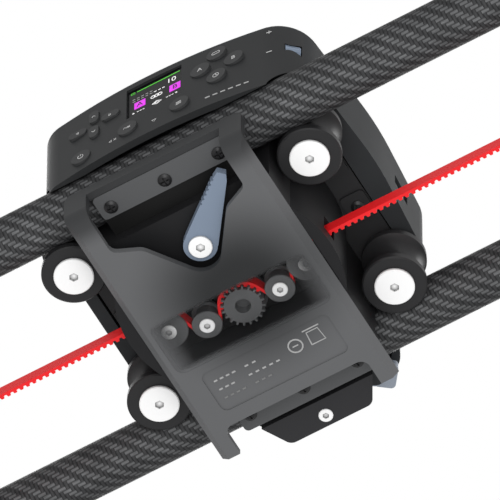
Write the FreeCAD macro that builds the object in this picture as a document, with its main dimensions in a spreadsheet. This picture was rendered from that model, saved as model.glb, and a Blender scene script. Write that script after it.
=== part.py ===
import FreeCAD, Part
# Motorised camera slider: two tubes, two end blocks and a belt-driven carriage.
#
# Frame: +X along the tubes, +Y across them (control panel at -Y), +Z up.
# The origin is on the floor, under the middle of the rail.
# Lengths are millimetres and angles are degrees.
import math
import os
import Sketcher

Vector = FreeCAD.Vector
doc = FreeCAD.newDocument("camera_slider")

# --------------------------------------------------------------------------
# Driving dimensions.  Names ending in _z are heights above the tube axes.
# --------------------------------------------------------------------------
DIMENSIONS = {
    # rail
    "rail_level": 44, "rail_spacing": 110, "rail_length": 900,
    "tube_radius": 10.8, "tube_wall": 1.6,
    "cap_thickness": 4, "block_length": 38, "block_half_width": 70, "block_half_height": 24,
    "ear_half_width": 84, "ear_top_z": -8, "socket_depth": 30, "seat_gap": 0.05,
    "foot_across": 76, "foot_radius": 12, "foot_height": 8,
    "stem_radius": 4, "big_thread_radius": 4.7625, "small_thread_radius": 3.175,
    "thread_across": 30, "thread_depth": 12, "travel": 330,
    # belt and drive
    "belt_back_y": -5.2, "belt_low_z": -20, "belt_width": 6, "belt_sheet": 1.2,
    "tooth_height": 1.1, "tooth_pitch": 3, "belt_joint": 36, "belt_end": 432,
    "drive_low_z": -21.6, "drive_top_z": -12.6, "pulley_y": 7.1, "pulley_radius": 9.15,
    "pulley_teeth": 20, "shaft_radius": 2.5,
    "big_idler_x": 32, "big_idler_y": 2.5, "big_drum_radius": 5.2, "big_flange_radius": 8,
    "small_idler_x": 17, "small_idler_y": 7.6, "small_drum_radius": 4.9,
    "small_flange_radius": 6.3, "idler_flange": 1.3, "idler_pin_radius": 2,
    "running_gap": 0.05,
    # rollers
    "roller_x": 55, "roller_y": 34.5, "roller_radius": 13.25, "roller_half_height": 11.5,
    "bearing_radius": 8, "bearing_width": 5, "bolt_radius": 2.5, "disc_radius": 8.2,
    "disc_thickness": 1.6,
    # lower frame and cover
    "cover_half_width": 41.2, "cover_front_y": -66, "cover_rear_y": 62, "cover_low_z": -30.6,
    "cover_thickness": 3.2, "cover_bevel": 3.1, "frame_half_width": 41, "frame_half_depth": 43,
    "bulge_radius": 47, "bay_floor_z": -8.6, "plate_low_z": 16, "plate_top_z": 19,
    "guard_low_z": -14.5, "guard_thickness": 2.2, "guard_step_y": 51.5, "guard_outer_y": 62.7,
    "mouth_half_width": 31, "mouth_apex_radius": 8.4,
    "lever_y": -27.2, "lever_length": 34.9, "lever_low_z": -24.6, "lever_thickness": 4,
    # housing
    "panel_y": -71.3, "panel_bow": 323, "housing_low_z": 15, "housing_top_z": 49,
    "skirt_low_z": 0.2, "wall": 3, "lid_seam_z": 44.5, "panel_seam_y": -57,
    "corner_x": 66.3, "corner_radius": 18, "side_x": 70, "side_y": -5, "rear_x": 65,
    "left_corner_x": 49, "left_side_x": 64.8, "left_break_y": -38,
    "rear_y": 47, "neck_x": 35, "neck_y": 53, "tail_y": 83,
    "pan_radius": 30, "pan_hub_radius": 24, "platform_gap": 0.4, "platform_height": 7.5,
    "stud_height": 9, "stud_root_radius": 4.4,
    "button_proud": 0.9,
    "wheel_radius": 9, "wheel_width": 6.4, "wheel_z": 30, "wheel_depth": 6.6,
    "latch_x": 22, "latch_y": 76.5, "latch_reach": 9,
}

sheet = doc.addObject("Spreadsheet::Sheet", "Sizes")
for row, (alias, number) in enumerate(DIMENSIONS.items(), start=1):
    sheet.set(f"A{row}", alias)
    sheet.set(f"B{row}", str(number))
    sheet.setAlias(f"B{row}", alias)
doc.recompute()


class Size:
    """A number that remembers the spreadsheet formula it comes from."""

    def __init__(self, number, formula=None):
        self.number = float(number)
        self.formula = formula or f"({self.number!r})"

    def __add__(self, other):
        other = as_size(other)
        return Size(self.number + other.number, f"({self.formula} + {other.formula})")

    def __sub__(self, other):
        other = as_size(other)
        return Size(self.number - other.number, f"({self.formula} - {other.formula})")

    def __mul__(self, other):
        other = as_size(other)
        return Size(self.number * other.number, f"({self.formula} * {other.formula})")

    def __truediv__(self, other):
        other = as_size(other)
        return Size(self.number / other.number, f"({self.formula} / {other.formula})")

    def __radd__(self, other):
        return as_size(other) + self

    def __rsub__(self, other):
        return as_size(other) - self

    def __rmul__(self, other):
        return as_size(other) * self

    def __neg__(self):
        return Size(-self.number, f"(0 - {self.formula})")

    def __float__(self):
        return self.number

    def root(self):
        """Return the square root."""
        return Size(math.sqrt(self.number), f"sqrt({self.formula})")


def as_size(value):
    """Return value as a Size, whatever it was."""
    return value if isinstance(value, Size) else Size(value)


class Sheet:
    """Gives each alias of the spreadsheet as a Size, for use in formulas."""

    def __getattr__(self, alias):
        return Size(sheet.get(alias), f"Sizes.{alias}")


dim = Sheet()


def height(z):
    """Return the height above the floor of a level given from the tube axes."""
    return dim.rail_level + z


# --------------------------------------------------------------------------
# Modelling helpers
# --------------------------------------------------------------------------
TURNS = {
    "x": FreeCAD.Rotation(Vector(0, 1, 0), 90),
    "y": FreeCAD.Rotation(Vector(1, 0, 0), -90),
    "z": FreeCAD.Rotation(),
}


def bind(thing, **sizes):
    """Bind properties of an object to spreadsheet formulas."""
    for name, value in sizes.items():
        thing.setExpression(name, as_size(value).formula)


def place(thing, x=0, y=0, z=0):
    """Bind an object's position; z is a height above the floor."""
    for axis, value in (("x", x), ("y", y), ("z", z)):
        thing.setExpression(f"Placement.Base.{axis}", as_size(value).formula)
    return thing


def cylinder(radius, start, end, x=0, y=0, z=0, axis="z", name="Cylinder"):
    """Return a cylinder along an axis, from start to end on that axis."""
    rod = doc.addObject("Part::Cylinder", name)
    rod.Placement = FreeCAD.Placement(Vector(), TURNS[axis])
    bind(rod, Radius=radius, Height=as_size(end) - start)
    centre = {"x": x, "y": y, "z": z}
    centre[axis] = start
    return place(rod, **centre)


def box(x0, x1, y0, y1, z0, z1, name="Box"):
    """Return a box between two corners."""
    block = doc.addObject("Part::Box", name)
    bind(block, Length=as_size(x1) - x0, Width=as_size(y1) - y0, Height=as_size(z1) - z0)
    return place(block, x0, y0, z0)


def fuse(*things, name="Fuse"):
    """Return the union of several objects."""
    union = doc.addObject("Part::MultiFuse", name)
    union.Shapes = list(things)
    return union


def common(first, second, name="Common"):
    """Return what two objects share."""
    shared = doc.addObject("Part::MultiCommon", name)
    shared.Shapes = [first, second]
    return shared


def cut(base, *tools, name="Cut"):
    """Return base without the tools."""
    rest = doc.addObject("Part::Cut", name)
    rest.Base = base
    rest.Tool = tools[0] if len(tools) == 1 else fuse(*tools)
    return rest


def sketch_on(body, role, offset=0):
    """Return a sketch on one of a body's own planes, moved along its normal."""
    plane = next(part for part in body.Origin.OriginFeatures if part.Role == role)
    sketch = body.newObject("Sketcher::SketchObject", "Sketch")
    sketch.AttachmentSupport = [(plane, "")]
    sketch.MapMode = "FlatFace"
    sketch.setExpression("AttachmentOffset.Base.z", as_size(offset).formula)
    return sketch


def constrain(sketch, *what, value):
    """Add a driving dimension to a sketch and bind it to its formula."""
    kind, *where = what
    index = sketch.addConstraint(Sketcher.Constraint(kind, *where, value.number))
    sketch.setExpression(f"Constraints[{index}]", value.formula)


def outline(sketch, points, bows=None):
    """Draw a closed outline; bows gives the radius of each side that swells outwards."""
    bows = bows or {}
    points = [(as_size(u), as_size(v)) for u, v in points]
    corners = [Vector(u.number, v.number, 0) for u, v in points]
    for side, start in enumerate(corners):
        end = corners[(side + 1) % len(corners)]
        if side in bows:
            half = (end - start) / 2
            depth = float(bows[side]) - math.sqrt(float(bows[side]) ** 2 - half.Length ** 2)
            outward = Vector(half.y, -half.x, 0).normalize()
            sketch.addGeometry(Part.Arc(start, start + half + outward * depth, end))
        else:
            sketch.addGeometry(Part.LineSegment(start, end))
    for side, (u, v) in enumerate(points):
        following = (side + 1) % len(points)
        sketch.addConstraint(Sketcher.Constraint("Coincident", side, 2, following, 1))
        constrain(sketch, "DistanceX", -1, 1, side, 1, value=u)
        constrain(sketch, "DistanceY", -1, 1, side, 1, value=v)
    for side, radius in bows.items():
        constrain(sketch, "Radius", side, value=as_size(radius))


def pad(body, sketch, length):
    """Pad a sketch by a length."""
    feature = body.newObject("PartDesign::Pad", "Pad")
    feature.Profile = sketch
    bind(feature, Length=length)
    return feature


def round_edges(body, radius, wanted):
    """Fillet the edges of a body that a test picks."""
    doc.recompute()
    tip = body.Tip
    names = [f"Edge{i}" for i, edge in enumerate(tip.Shape.Edges, start=1) if wanted(edge)]
    fillet = body.newObject("PartDesign::Fillet", "Fillet")
    fillet.Base = (tip, names)
    bind(fillet, Radius=radius)


def direction(edge):
    """Return a straight edge's direction, or a null vector."""
    return edge.Curve.Direction if edge.Curve.TypeId == "Part::GeomLine" else Vector()


def along_y(edge):
    """Tell whether an edge runs along Y."""
    return abs(direction(edge).y) > 0.99


def upright(edge):
    """Tell whether an edge stands along Z."""
    return abs(direction(edge).z) > 0.99


def along_x(edge):
    """Tell whether an edge runs along X."""
    return abs(direction(edge).x) > 0.99


def prism(points, low, high, bows=None):
    """Return a body: an outline in plan, from one height to another."""
    body = doc.addObject("PartDesign::Body", "Prism")
    sketch = sketch_on(body, "XY_Plane", low)
    outline(sketch, points, bows)
    pad(body, sketch, as_size(high) - low)
    return body


def rectangle(x0, x1, y0, y1):
    """Return the corners of a rectangle, anticlockwise."""
    return [(x0, y0), (x1, y0), (x1, y1), (x0, y1)]


def slab(x0, x1, y0, y1, low, high, corner):
    """Return a body: a box whose upright edges are rounded."""
    body = prism(rectangle(x0, x1, y0, y1), low, high)
    round_edges(body, corner, upright)
    return body


def turned(profile, name="Turned"):
    """Return a body of revolution about Z from (radius, height) points."""
    body = doc.addObject("PartDesign::Body", name)
    sketch = sketch_on(body, "XZ_Plane")
    outline(sketch, profile)
    spin = body.newObject("PartDesign::Revolution", "Revolution")
    spin.Profile = sketch
    spin.ReferenceAxis = (sketch, ["V_Axis"])
    spin.Angle = 360
    return body


def hexagon(across, low, high, x=0, y=0):
    """Return a six-sided prism, such as a key's socket."""
    body = doc.addObject("Part::Prism", "Hexagon")
    body.Polygon = 6
    bind(body, Circumradius=as_size(across) / math.sqrt(3), Height=as_size(high) - low)
    return place(body, x, y, low)


def compound(label, shapes):
    """Return one sub-part made of separate solids."""
    doc.recompute()
    feature = doc.addObject("Part::Feature", label)
    feature.Shape = Part.makeCompound(shapes)
    return feature


def copies(label, master, places):
    """Return a sub-part of identical solids, one at each place."""
    doc.recompute()
    solids = []
    for x, y, z in places:
        solid = master.Shape.copy()
        solid.translate(Vector(float(x), float(y), float(z)))
        solids.append(solid)
    return compound(label, solids)


sub_parts = []


def sub_part(label, thing):
    """Name an object and list it among the sub-parts."""
    thing.Label = label
    sub_parts.append(thing)
    return thing


BOTH = (-1, 1)
ENDS = {"left": -1, "right": 1}


# --------------------------------------------------------------------------
# Rail: tubes, end blocks, caps, screws, bumpers and feet
# --------------------------------------------------------------------------
block_outer = dim.rail_length / 2 - dim.cap_thickness
block_inner = block_outer - dim.block_length
tube_end = block_inner + dim.socket_depth
block_low = height(-dim.block_half_height)
block_top = height(dim.block_half_height)
foot_x = block_outer - dim.block_length / 2
channel_top = height(-12)
channel_rear = dim.belt_back_y + 13.2


def make_tube(label, side):
    """A carbon tube, hollow, seated in both end blocks."""
    centre = {"y": dim.rail_spacing / 2 * side, "z": dim.rail_level}
    outer = cylinder(dim.tube_radius, -tube_end, tube_end, axis="x", **centre)
    inner = cylinder(dim.tube_radius - dim.tube_wall, -tube_end, tube_end, axis="x", **centre)
    sub_part(label, cut(outer, inner))


def span(side, near, far):
    """Return a stretch of X beyond the middle, on either side, in rising order."""
    return (near, far) if side > 0 else (-far, -near)


def make_end_block(label, side):
    """A machined block: tube sockets, belt channel, foot and tripod threads."""
    x0, x1 = span(side, block_inner, block_outer)
    main = slab(x0, x1, -dim.block_half_width, dim.block_half_width, block_low, block_top, 6)
    round_edges(main, 3, lambda edge: along_x(edge) and edge.CenterOfMass.z > float(block_top) - 1)
    ears = slab(x0, x1, -dim.ear_half_width, dim.ear_half_width, block_low,
                height(dim.ear_top_z), 12)
    holes = []
    for across in BOTH:
        y = dim.rail_spacing / 2 * across
        s0, s1 = span(side, block_inner - 1, tube_end + 0.2)
        holes.append(cylinder(dim.tube_radius + dim.seat_gap, s0, s1, y=y, z=dim.rail_level,
                              axis="x"))
        holes.append(cylinder(dim.stem_radius + dim.running_gap, block_low - 1, height(-9.5),
                              x=foot_x * side, y=dim.foot_across * across))
        for along in BOTH:
            holes.append(cylinder(3.6, block_top - 4.2, block_top + 1,
                                  x=foot_x * side + 9 * along, y=39 * across))
    holes.append(cylinder(dim.big_thread_radius, block_low - 1, block_low + dim.thread_depth,
                          x=foot_x * side, y=dim.thread_across))
    holes.append(cylinder(dim.small_thread_radius, block_low - 1, block_low + dim.thread_depth,
                          x=foot_x * side, y=-dim.thread_across))
    c0, c1 = span(side, block_inner - 1, dim.belt_end + 1)
    holes.append(box(c0, c1, dim.belt_back_y, channel_rear, block_low - 1, channel_top))
    for level in (-6, 9):
        holes.append(cylinder(2.5, block_inner * side - 3, block_inner * side + 3,
                              y=20, z=height(level), axis="x"))
    sub_part(label, cut(fuse(main, ears), *holes))


def make_end_caps():
    """A cover plate on the outer face of each end block, with a raised middle."""
    caps = []
    for side in BOTH:
        x0, x1 = span(side, block_outer, dim.rail_length / 2)
        cap = doc.addObject("PartDesign::Body", "Cap")
        sketch = sketch_on(cap, "YZ_Plane", x0)
        half, ear = dim.block_half_width - 2, dim.ear_half_width - 4
        low, top, ear_top = block_low + 1, block_top - 1, height(dim.ear_top_z) - 1
        outline(sketch, [(-ear, low), (ear, low), (ear, ear_top), (half, ear_top),
                         (half, top), (-half, top), (-half, ear_top), (-ear, ear_top)])
        pad(cap, sketch, x1 - x0)
        round_edges(cap, 3, along_x)
        caps.append(cap)
    doc.recompute()
    sub_part("end_caps", compound("end_caps", [cap.Shape for cap in caps]))


def make_clamp_screws():
    """Socket head screws that pinch each tube, sunk in the top of the blocks."""
    head = cylinder(3.5, block_top - 4.2, block_top - 0.3)
    screw = cut(head, hexagon(3, block_top - 2.5, block_top))
    places = [(foot_x * side + 9 * along, 39 * across, 0)
              for side in BOTH for along in BOTH for across in BOTH]
    sub_part("tube_clamp_screws", copies("tube_clamp_screws", screw, places))


def make_bumpers():
    """Rubber stops on the inner faces of the blocks."""
    length = block_inner - dim.travel - dim.side_x - 1.5
    stops = []
    for side in BOTH:
        x0, x1 = span(side, block_inner - length, block_inner)
        for across in BOTH:
            stops.append(cylinder(4.2, x0, x1, y=32 * across, z=height(19), axis="x"))
    doc.recompute()
    sub_part("bumpers", compound("bumpers", [stop.Shape for stop in stops]))


def make_foot(label, side, across):
    """A levelling foot: rubber-faced disc, neck and stem, on the stem's axis."""
    foot = turned([
        (0, 0), (dim.foot_radius - 1, 0), (dim.foot_radius, 1),
        (dim.foot_radius, dim.foot_height - 1.5), (dim.foot_radius - 1.5, dim.foot_height),
        (6, dim.foot_height), (6, block_low - 4), (dim.stem_radius, block_low - 4),
        (dim.stem_radius, height(-10)), (0, height(-10)),
    ])
    sub_part(label, place(foot, foot_x * side, dim.foot_across * across))


# --------------------------------------------------------------------------
# Belt: straight runs on the rail and the loop inside the carriage
# --------------------------------------------------------------------------
def tooth(root, length_way, tooth_way, low, tall):
    """Return one belt tooth on a root point, as a tapered prism."""
    base, tip = 0.95, 0.6
    sink = tooth_way * -0.3
    rise = tooth_way * dim.tooth_height.number
    corners = [root + sink - length_way * base, root + sink + length_way * base,
               root + rise + length_way * tip, root + rise - length_way * tip]
    corners = [Vector(c.x, c.y, low) for c in corners]
    return Part.Face(Part.makePolygon(corners + corners[:1])).extrude(Vector(0, 0, tall))


def make_belt_run(label, side):
    """A straight toothed run from the end block's clamp to the carriage."""
    back = dim.belt_back_y.number
    root = back + dim.belt_sheet.number
    tip = root + dim.tooth_height.number
    near, far = dim.belt_joint.number, dim.belt_end.number
    pitch = dim.tooth_pitch.number
    points = [(near, back), (near, root)]
    count = int((far - near) / pitch)
    for step in range(count):
        middle = near + (step + 0.5) * pitch
        points += [(middle - 0.95, root), (middle - 0.6, tip),
                   (middle + 0.6, tip), (middle + 0.95, root)]
    points += [(far, root), (far, back)]
    low = height(dim.belt_low_z).number
    corners = [Vector(x * side, y, low) for x, y in points]
    face = Part.Face(Part.makePolygon(corners + corners[:1]))
    run = doc.addObject("Part::Feature", label)
    run.Shape = face.extrude(Vector(0, 0, dim.belt_width.number))
    sub_part(label, run)


class Turn:
    """A stretch of belt around a wheel: its centre, root radius and sense."""

    def __init__(self, x, y, radius, sense):
        self.centre = Vector(float(x), float(y), 0)
        self.radius = float(radius)
        self.sense = sense


def crossing(first, second):
    """Return the points where the belt leaves one wheel and meets the next."""
    gap = second.centre - first.centre
    lean = math.asin((first.radius + second.radius) / gap.Length)
    heading = math.atan2(gap.y, gap.x) + first.sense * lean
    normal = Vector(math.sin(heading), -math.cos(heading), 0) * first.sense
    return first.centre + normal * first.radius, second.centre - normal * second.radius


def make_belt_loop():
    """The belt round the idlers and the pulley, teeth towards the pulley."""
    root_y = dim.belt_back_y + dim.belt_sheet
    big = dim.big_idler_y - root_y
    small = dim.small_drum_radius + dim.belt_sheet + dim.running_gap * 2
    wheels = [
        Turn(-dim.big_idler_x, dim.big_idler_y, big, 1),
        Turn(-dim.small_idler_x, dim.small_idler_y, small, -1),
        Turn(0, dim.pulley_y, dim.pulley_radius + dim.running_gap, 1),
        Turn(dim.small_idler_x, dim.small_idler_y, small, -1),
        Turn(dim.big_idler_x, dim.big_idler_y, big, 1),
    ]
    low = height(dim.belt_low_z).number
    tall = dim.belt_width.number
    sheet_thickness = dim.belt_sheet.number
    start = Vector(-dim.belt_joint.number, root_y.number, 0)
    finish = Vector(dim.belt_joint.number, root_y.number, 0)
    entry = Vector(-dim.big_idler_x.number, root_y.number, 0)
    exit_point = Vector(dim.big_idler_x.number, root_y.number, 0)
    links = [crossing(a, b) for a, b in zip(wheels, wheels[1:])]
    arrivals = [entry] + [link[1] for link in links]
    departures = [link[0] for link in links] + [exit_point]

    pieces = []

    def strip(corners):
        corners = [Vector(c.x, c.y, low) for c in corners]
        pieces.append(Part.Face(Part.makePolygon(corners + corners[:1])).extrude(
            Vector(0, 0, tall)))

    def straight(a, b):
        way = (b - a).normalize()
        outward = Vector(way.y, -way.x, 0) * sheet_thickness
        strip([a, b, b + outward, a + outward])

    straight(start, entry)
    for wheel, arrive, leave in zip(wheels, arrivals, departures):
        first = math.atan2(arrive.y - wheel.centre.y, arrive.x - wheel.centre.x)
        last = math.atan2(leave.y - wheel.centre.y, leave.x - wheel.centre.x)
        if wheel.sense > 0 and last < first:
            last += 2 * math.pi
        if wheel.sense < 0 and last > first:
            last -= 2 * math.pi
        radii = (wheel.radius, wheel.radius + sheet_thickness * wheel.sense)
        outer = Part.makeCylinder(max(radii), tall, Vector(wheel.centre.x, wheel.centre.y, low))
        inner = Part.makeCylinder(min(radii), tall, Vector(wheel.centre.x, wheel.centre.y, low))
        reach = 3 * wheel.radius
        fan = [wheel.centre]
        steps = 12
        for step in range(steps + 1):
            angle = first + (last - first) * step / steps
            fan.append(wheel.centre + Vector(math.cos(angle), math.sin(angle), 0) * reach)
        fan = [Vector(c.x, c.y, low) for c in fan]
        wedge = Part.Face(Part.makePolygon(fan + fan[:1])).extrude(Vector(0, 0, tall))
        pieces.append(outer.cut(inner).common(wedge))
    for a, b in links:
        straight(a, b)
    straight(exit_point, finish)

    # Teeth on the pulley sit in its gaps; the others follow at the belt's pitch.
    pulley = wheels[2]
    step_angle = 2 * math.pi / dim.pulley_teeth.number
    for index in range(-4, 5):
        angle = -math.pi / 2 + index * step_angle
        spoke = Vector(math.cos(angle), math.sin(angle), 0)
        across = Vector(-spoke.y, spoke.x, 0)
        pieces.append(tooth(pulley.centre + spoke * pulley.radius, across, -spoke, low, tall))
    for side in BOTH:
        for index in range(6):
            middle = dim.belt_joint.number - (index + 0.5) * dim.tooth_pitch.number
            if middle > dim.big_idler_x.number:
                pieces.append(tooth(Vector(middle * side, root_y.number, 0),
                                    Vector(1, 0, 0), Vector(0, 1, 0), low, tall))
    shape = pieces[0].multiFuse(pieces[1:]).removeSplitter()
    loop = doc.addObject("Part::Feature", "belt_loop")
    loop.Shape = shape
    sub_part("belt_loop", loop)


def make_belt_clamps():
    """Jaws that hold the belt against the wall of each end block's channel."""
    tip = dim.belt_back_y + dim.belt_sheet + dim.tooth_height
    jaws = []
    for side in BOTH:
        x0, x1 = span(side, block_inner + 4, dim.belt_end)
        jaws.append(box(x0, x1, tip, channel_rear, block_low + 1, channel_top))
    doc.recompute()
    sub_part("belt_clamps", compound("belt_clamps", [jaw.Shape for jaw in jaws]))


# --------------------------------------------------------------------------
# Drive: pulley, idlers, rollers and motor
# --------------------------------------------------------------------------
drive_low = height(dim.drive_low_z)
drive_top = height(dim.drive_top_z)


def make_pulley():
    """A toothed pulley with its shaft; a belt tooth's width fits each gap."""
    wheel = doc.addObject("PartDesign::Body", "Pulley")
    sketch = sketch_on(wheel, "XY_Plane", drive_low)
    sketch.addGeometry(Part.Circle(Vector(), Vector(0, 0, 1), dim.pulley_radius.number))
    sketch.addConstraint(Sketcher.Constraint("Coincident", -1, 1, 0, 3))
    constrain(sketch, "Radius", 0, value=dim.pulley_radius)
    pad(wheel, sketch, drive_top - drive_low)
    gap_sketch = sketch_on(wheel, "XY_Plane", drive_low)
    depth = dim.pulley_radius - dim.tooth_height - 0.25
    rim = dim.pulley_radius + 1
    outline(gap_sketch, [(-1.15, -rim), (1.15, -rim), (0.8, -depth), (-0.8, -depth)])
    doc.recompute()
    gap = wheel.newObject("PartDesign::Pocket", "Gap")
    gap.Profile = gap_sketch
    gap.Type = 1
    gap.Reversed = True
    ring = wheel.newObject("PartDesign::PolarPattern", "Gaps")
    ring.Originals = [gap]
    ring.Axis = (gap_sketch, ["N_Axis"])
    ring.Angle = 360
    bind(ring, Occurrences=dim.pulley_teeth)
    wheel.Tip = ring
    flange = cylinder(dim.pulley_radius + 1.2, drive_top - 0.01, drive_top + 1.2)
    shaft = cylinder(dim.shaft_radius, drive_low + 5, height(4))
    mouth = cylinder(3.3, drive_low - 1, drive_low + 5)
    sub_part("drive_pulley", place(cut(fuse(wheel, flange, shaft), mouth), y=dim.pulley_y))


def make_idler(label, x, y, drum, flange):
    """A flanged idler that turns on a pin; the belt runs on its drum."""
    bore = dim.idler_pin_radius + dim.running_gap
    lip = dim.idler_flange
    idler = turned([
        (bore, drive_low), (flange - 0.3, drive_low), (flange, drive_low + 0.3),
        (flange, drive_low + lip), (drum, drive_low + lip), (drum, drive_top - lip),
        (flange, drive_top - lip), (flange, drive_top), (bore, drive_top),
    ])
    sub_part(label, place(idler, x, y))


def make_motor():
    """The motor can on the frame's web, with a bore round the pulley's shaft."""
    low, high = height(-4), height(30)
    half = 17.4
    can = slab(-half, half, -half, half, low, high, 4)
    hole = cylinder(dim.shaft_radius + dim.running_gap, low - 1, height(6))
    sub_part("drive_motor", place(cut(can, hole), y=dim.pulley_y))


def make_motor_screws():
    """Cap screws that hold the motor to the web, seen in the drive bay."""
    head_low, head_top = height(dim.bay_floor_z - 2), height(dim.bay_floor_z)
    screw = cut(cylinder(2.1, head_low, head_top), hexagon(2, head_low, head_low + 1.2))
    places = [(17.5 * side, dim.pulley_y.number - 6.7, 0) for side in BOTH]
    sub_part("motor_screws", copies("motor_screws", screw, places))


def make_roller(label, along, across):
    """A wheel whose concave tread hugs half of a tube."""
    middle = dim.rail_level
    low, high = middle - dim.roller_half_height, middle + dim.roller_half_height
    seat = dim.bearing_radius + dim.running_gap
    rim = dim.roller_radius
    blank = turned([
        (seat, low), (rim - 0.6, low), (rim, low + 0.6), (rim, high - 0.6),
        (rim - 0.6, high), (seat, high),
    ])
    groove_sketch = sketch_on(blank, "XZ_Plane")
    reach = dim.rail_spacing / 2 - dim.roller_y
    radius = dim.tube_radius + dim.running_gap
    groove_sketch.addGeometry(Part.Circle(Vector(reach.number, middle.number, 0),
                                          Vector(0, 0, 1), radius.number))
    constrain(groove_sketch, "DistanceX", -1, 1, 0, 3, value=reach)
    constrain(groove_sketch, "DistanceY", -1, 1, 0, 3, value=middle)
    constrain(groove_sketch, "Radius", 0, value=radius)
    groove = blank.newObject("PartDesign::Groove", "Groove")
    groove.Profile = groove_sketch
    groove.ReferenceAxis = (groove_sketch, ["V_Axis"])
    groove.Angle = 360
    sub_part(label, place(blank, dim.roller_x * along, dim.roller_y * across))


def roller_places():
    """Return the four roller axes."""
    return [(dim.roller_x * along, dim.roller_y * across, 0)
            for along in BOTH for across in BOTH]


def make_roller_bolts():
    """Disc-headed bolts on which the rollers' bearings sit."""
    low = dim.rail_level - dim.roller_half_height
    head_low = low - 0.2 - dim.disc_thickness
    bolt = turned([
        (0, head_low), (dim.disc_radius - 0.4, head_low), (dim.disc_radius, head_low + 0.4),
        (dim.disc_radius, low - 0.2), (dim.bolt_radius, low - 0.2),
        (dim.bolt_radius, height(dim.plate_top_z)), (0, height(dim.plate_top_z)),
    ])
    socketed = cut(bolt, hexagon(3.5, head_low - 1, head_low + 1.2))
    sub_part("roller_bolts", copies("roller_bolts", socketed, roller_places()))


def make_roller_bearings():
    """Two ball bearings in each roller, drawn as plain rings."""
    rings = []
    for x, y, _ in roller_places():
        for level in (-dim.roller_half_height + 0.5, dim.roller_half_height - 0.5
                      - dim.bearing_width):
            low = dim.rail_level + level
            ring = Part.makeCylinder(float(dim.bearing_radius), float(dim.bearing_width),
                                     Vector(float(x), float(y), float(low)))
            hole = Part.makeCylinder(float(dim.bolt_radius), float(dim.bearing_width),
                                     Vector(float(x), float(y), float(low)))
            rings.append(ring.cut(hole))
    sub_part("roller_bearings", compound("roller_bearings", rings))


# --------------------------------------------------------------------------
# Carriage: lower frame, cover, window, guards and plate
# --------------------------------------------------------------------------
cover_low = height(dim.cover_low_z)
cover_top = cover_low + dim.cover_thickness
plate_low = height(dim.plate_low_z)
plate_top = height(dim.plate_top_z)
window_front, window_rear, window_half = -8, 18, 36
pin_radius = dim.idler_pin_radius


def make_chassis_frame():
    """The block between the tubes: drive bay, lever bay, belt slots, motor well."""
    half, depth = dim.frame_half_width, dim.frame_half_depth
    core = box(-half, half, -depth, depth, cover_top, plate_low)
    swell = common(cylinder(dim.bulge_radius, cover_top, plate_low, y=-3),
                   box(-60, 60, -27, 21, cover_top, plate_low))
    bay_floor = height(dim.bay_floor_z)
    drive_bay = box(-half + 2.2, half - 2.2, -11, 19.5, cover_top - 1, bay_floor)
    idler_bay = box(-41.5, 41.5, -9, 13, cover_top - 1, bay_floor)
    lever_bay = box(-36, 36, -depth - 1, -14, cover_top - 1, height(-19))
    board_bay = box(-36, 36, 22.5, depth - 3, cover_top - 1, bay_floor)
    well = box(-36, 36, -38, 38, height(-4), plate_low + 1)
    slots = box(-60, 60, -8.4, -0.8, height(-21.6), height(-12.6))
    holes = [cylinder(3.4, height(-9), height(-3), y=dim.pulley_y)]
    for x, y in idler_axes():
        holes.append(cylinder(pin_radius, height(-9), height(-5.4), x=x, y=y))
    holes.append(cylinder(3, height(-20), height(-15), y=dim.lever_y))
    sub_part("chassis_frame", cut(fuse(core, swell), drive_bay, idler_bay, lever_bay, board_bay,
                                  well, slots, *holes))


def idler_axes():
    """Return the axes of the two large and the two small idlers."""
    return [(dim.big_idler_x * side, dim.big_idler_y) for side in BOTH] + [
        (dim.small_idler_x * side, dim.small_idler_y) for side in BOTH]


def make_base_cover():
    """The saddle-shaped underside, with lever mouth, window and rear notch."""
    half = dim.cover_half_width
    front, rear = dim.cover_front_y, dim.cover_rear_y
    lip_top, lip_depth = height(-8.7), 3
    saddle = doc.addObject("PartDesign::Body", "Saddle")
    profile = sketch_on(saddle, "YZ_Plane", -half)
    outline(profile, [(front, cover_low), (rear, cover_low), (rear, cover_top),
                      (front + lip_depth, cover_top), (front + lip_depth, lip_top),
                      (front, lip_top)])
    pad(saddle, profile, half * 2)
    round_edges(saddle, 7, lambda edge: along_x(edge)
                and edge.CenterOfMass.y < float(front) + 0.1
                and edge.CenterOfMass.z < float(cover_low) + 0.1)
    round_edges(saddle, 4, lambda edge: along_y(edge)
                and edge.CenterOfMass.z > float(lip_top) - 0.1)
    bevels = []
    for side in BOTH:
        bevel = doc.addObject("PartDesign::Body", "Bevel")
        sketch = sketch_on(bevel, "XZ_Plane", -rear - 1)
        size = dim.cover_bevel
        corner = (half + 0.1) * side
        points = [(corner - size * side, cover_low - 0.1), (corner, cover_low - 0.1),
                  (corner, cover_low - 0.1 + size)]
        outline(sketch, points if side > 0 else points[::-1])
        pad(bevel, sketch, rear - front + 2)
        bevels.append(bevel)
    wide, bar_low = dim.mouth_half_width, height(dim.guard_low_z)
    mouth = prism([(-wide, front - 1), (wide, front - 1), (wide, -45.2), (19.5, -40),
                   (6.85, -22.3), (-6.85, -22.3), (-19.5, -40), (-wide, -45.2)],
                  cover_low - 1, bar_low)
    round_edges(mouth, 4, lambda edge: upright(edge) and -46 < edge.CenterOfMass.y < -44)
    round_edges(mouth, 7, lambda edge: upright(edge) and -41 < edge.CenterOfMass.y < -39)
    apex = cylinder(dim.mouth_apex_radius, cover_low - 1, cover_top + 1, y=dim.lever_y)
    window = slab(-window_half - 0.05, window_half + 0.05, window_front - 0.05,
                  window_rear + 0.05, cover_low - 1, cover_top + 1, 4)
    notch = slab(-33, 33, 48.5, rear + 10, cover_low - 1, cover_top + 1, 4)
    label = slab(-29, 30, 22, 42, cover_low - 1, cover_low + 0.5, 3)
    sub_part("base_cover", cut(saddle, *bevels, mouth, apex, window, notch, label))


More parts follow.
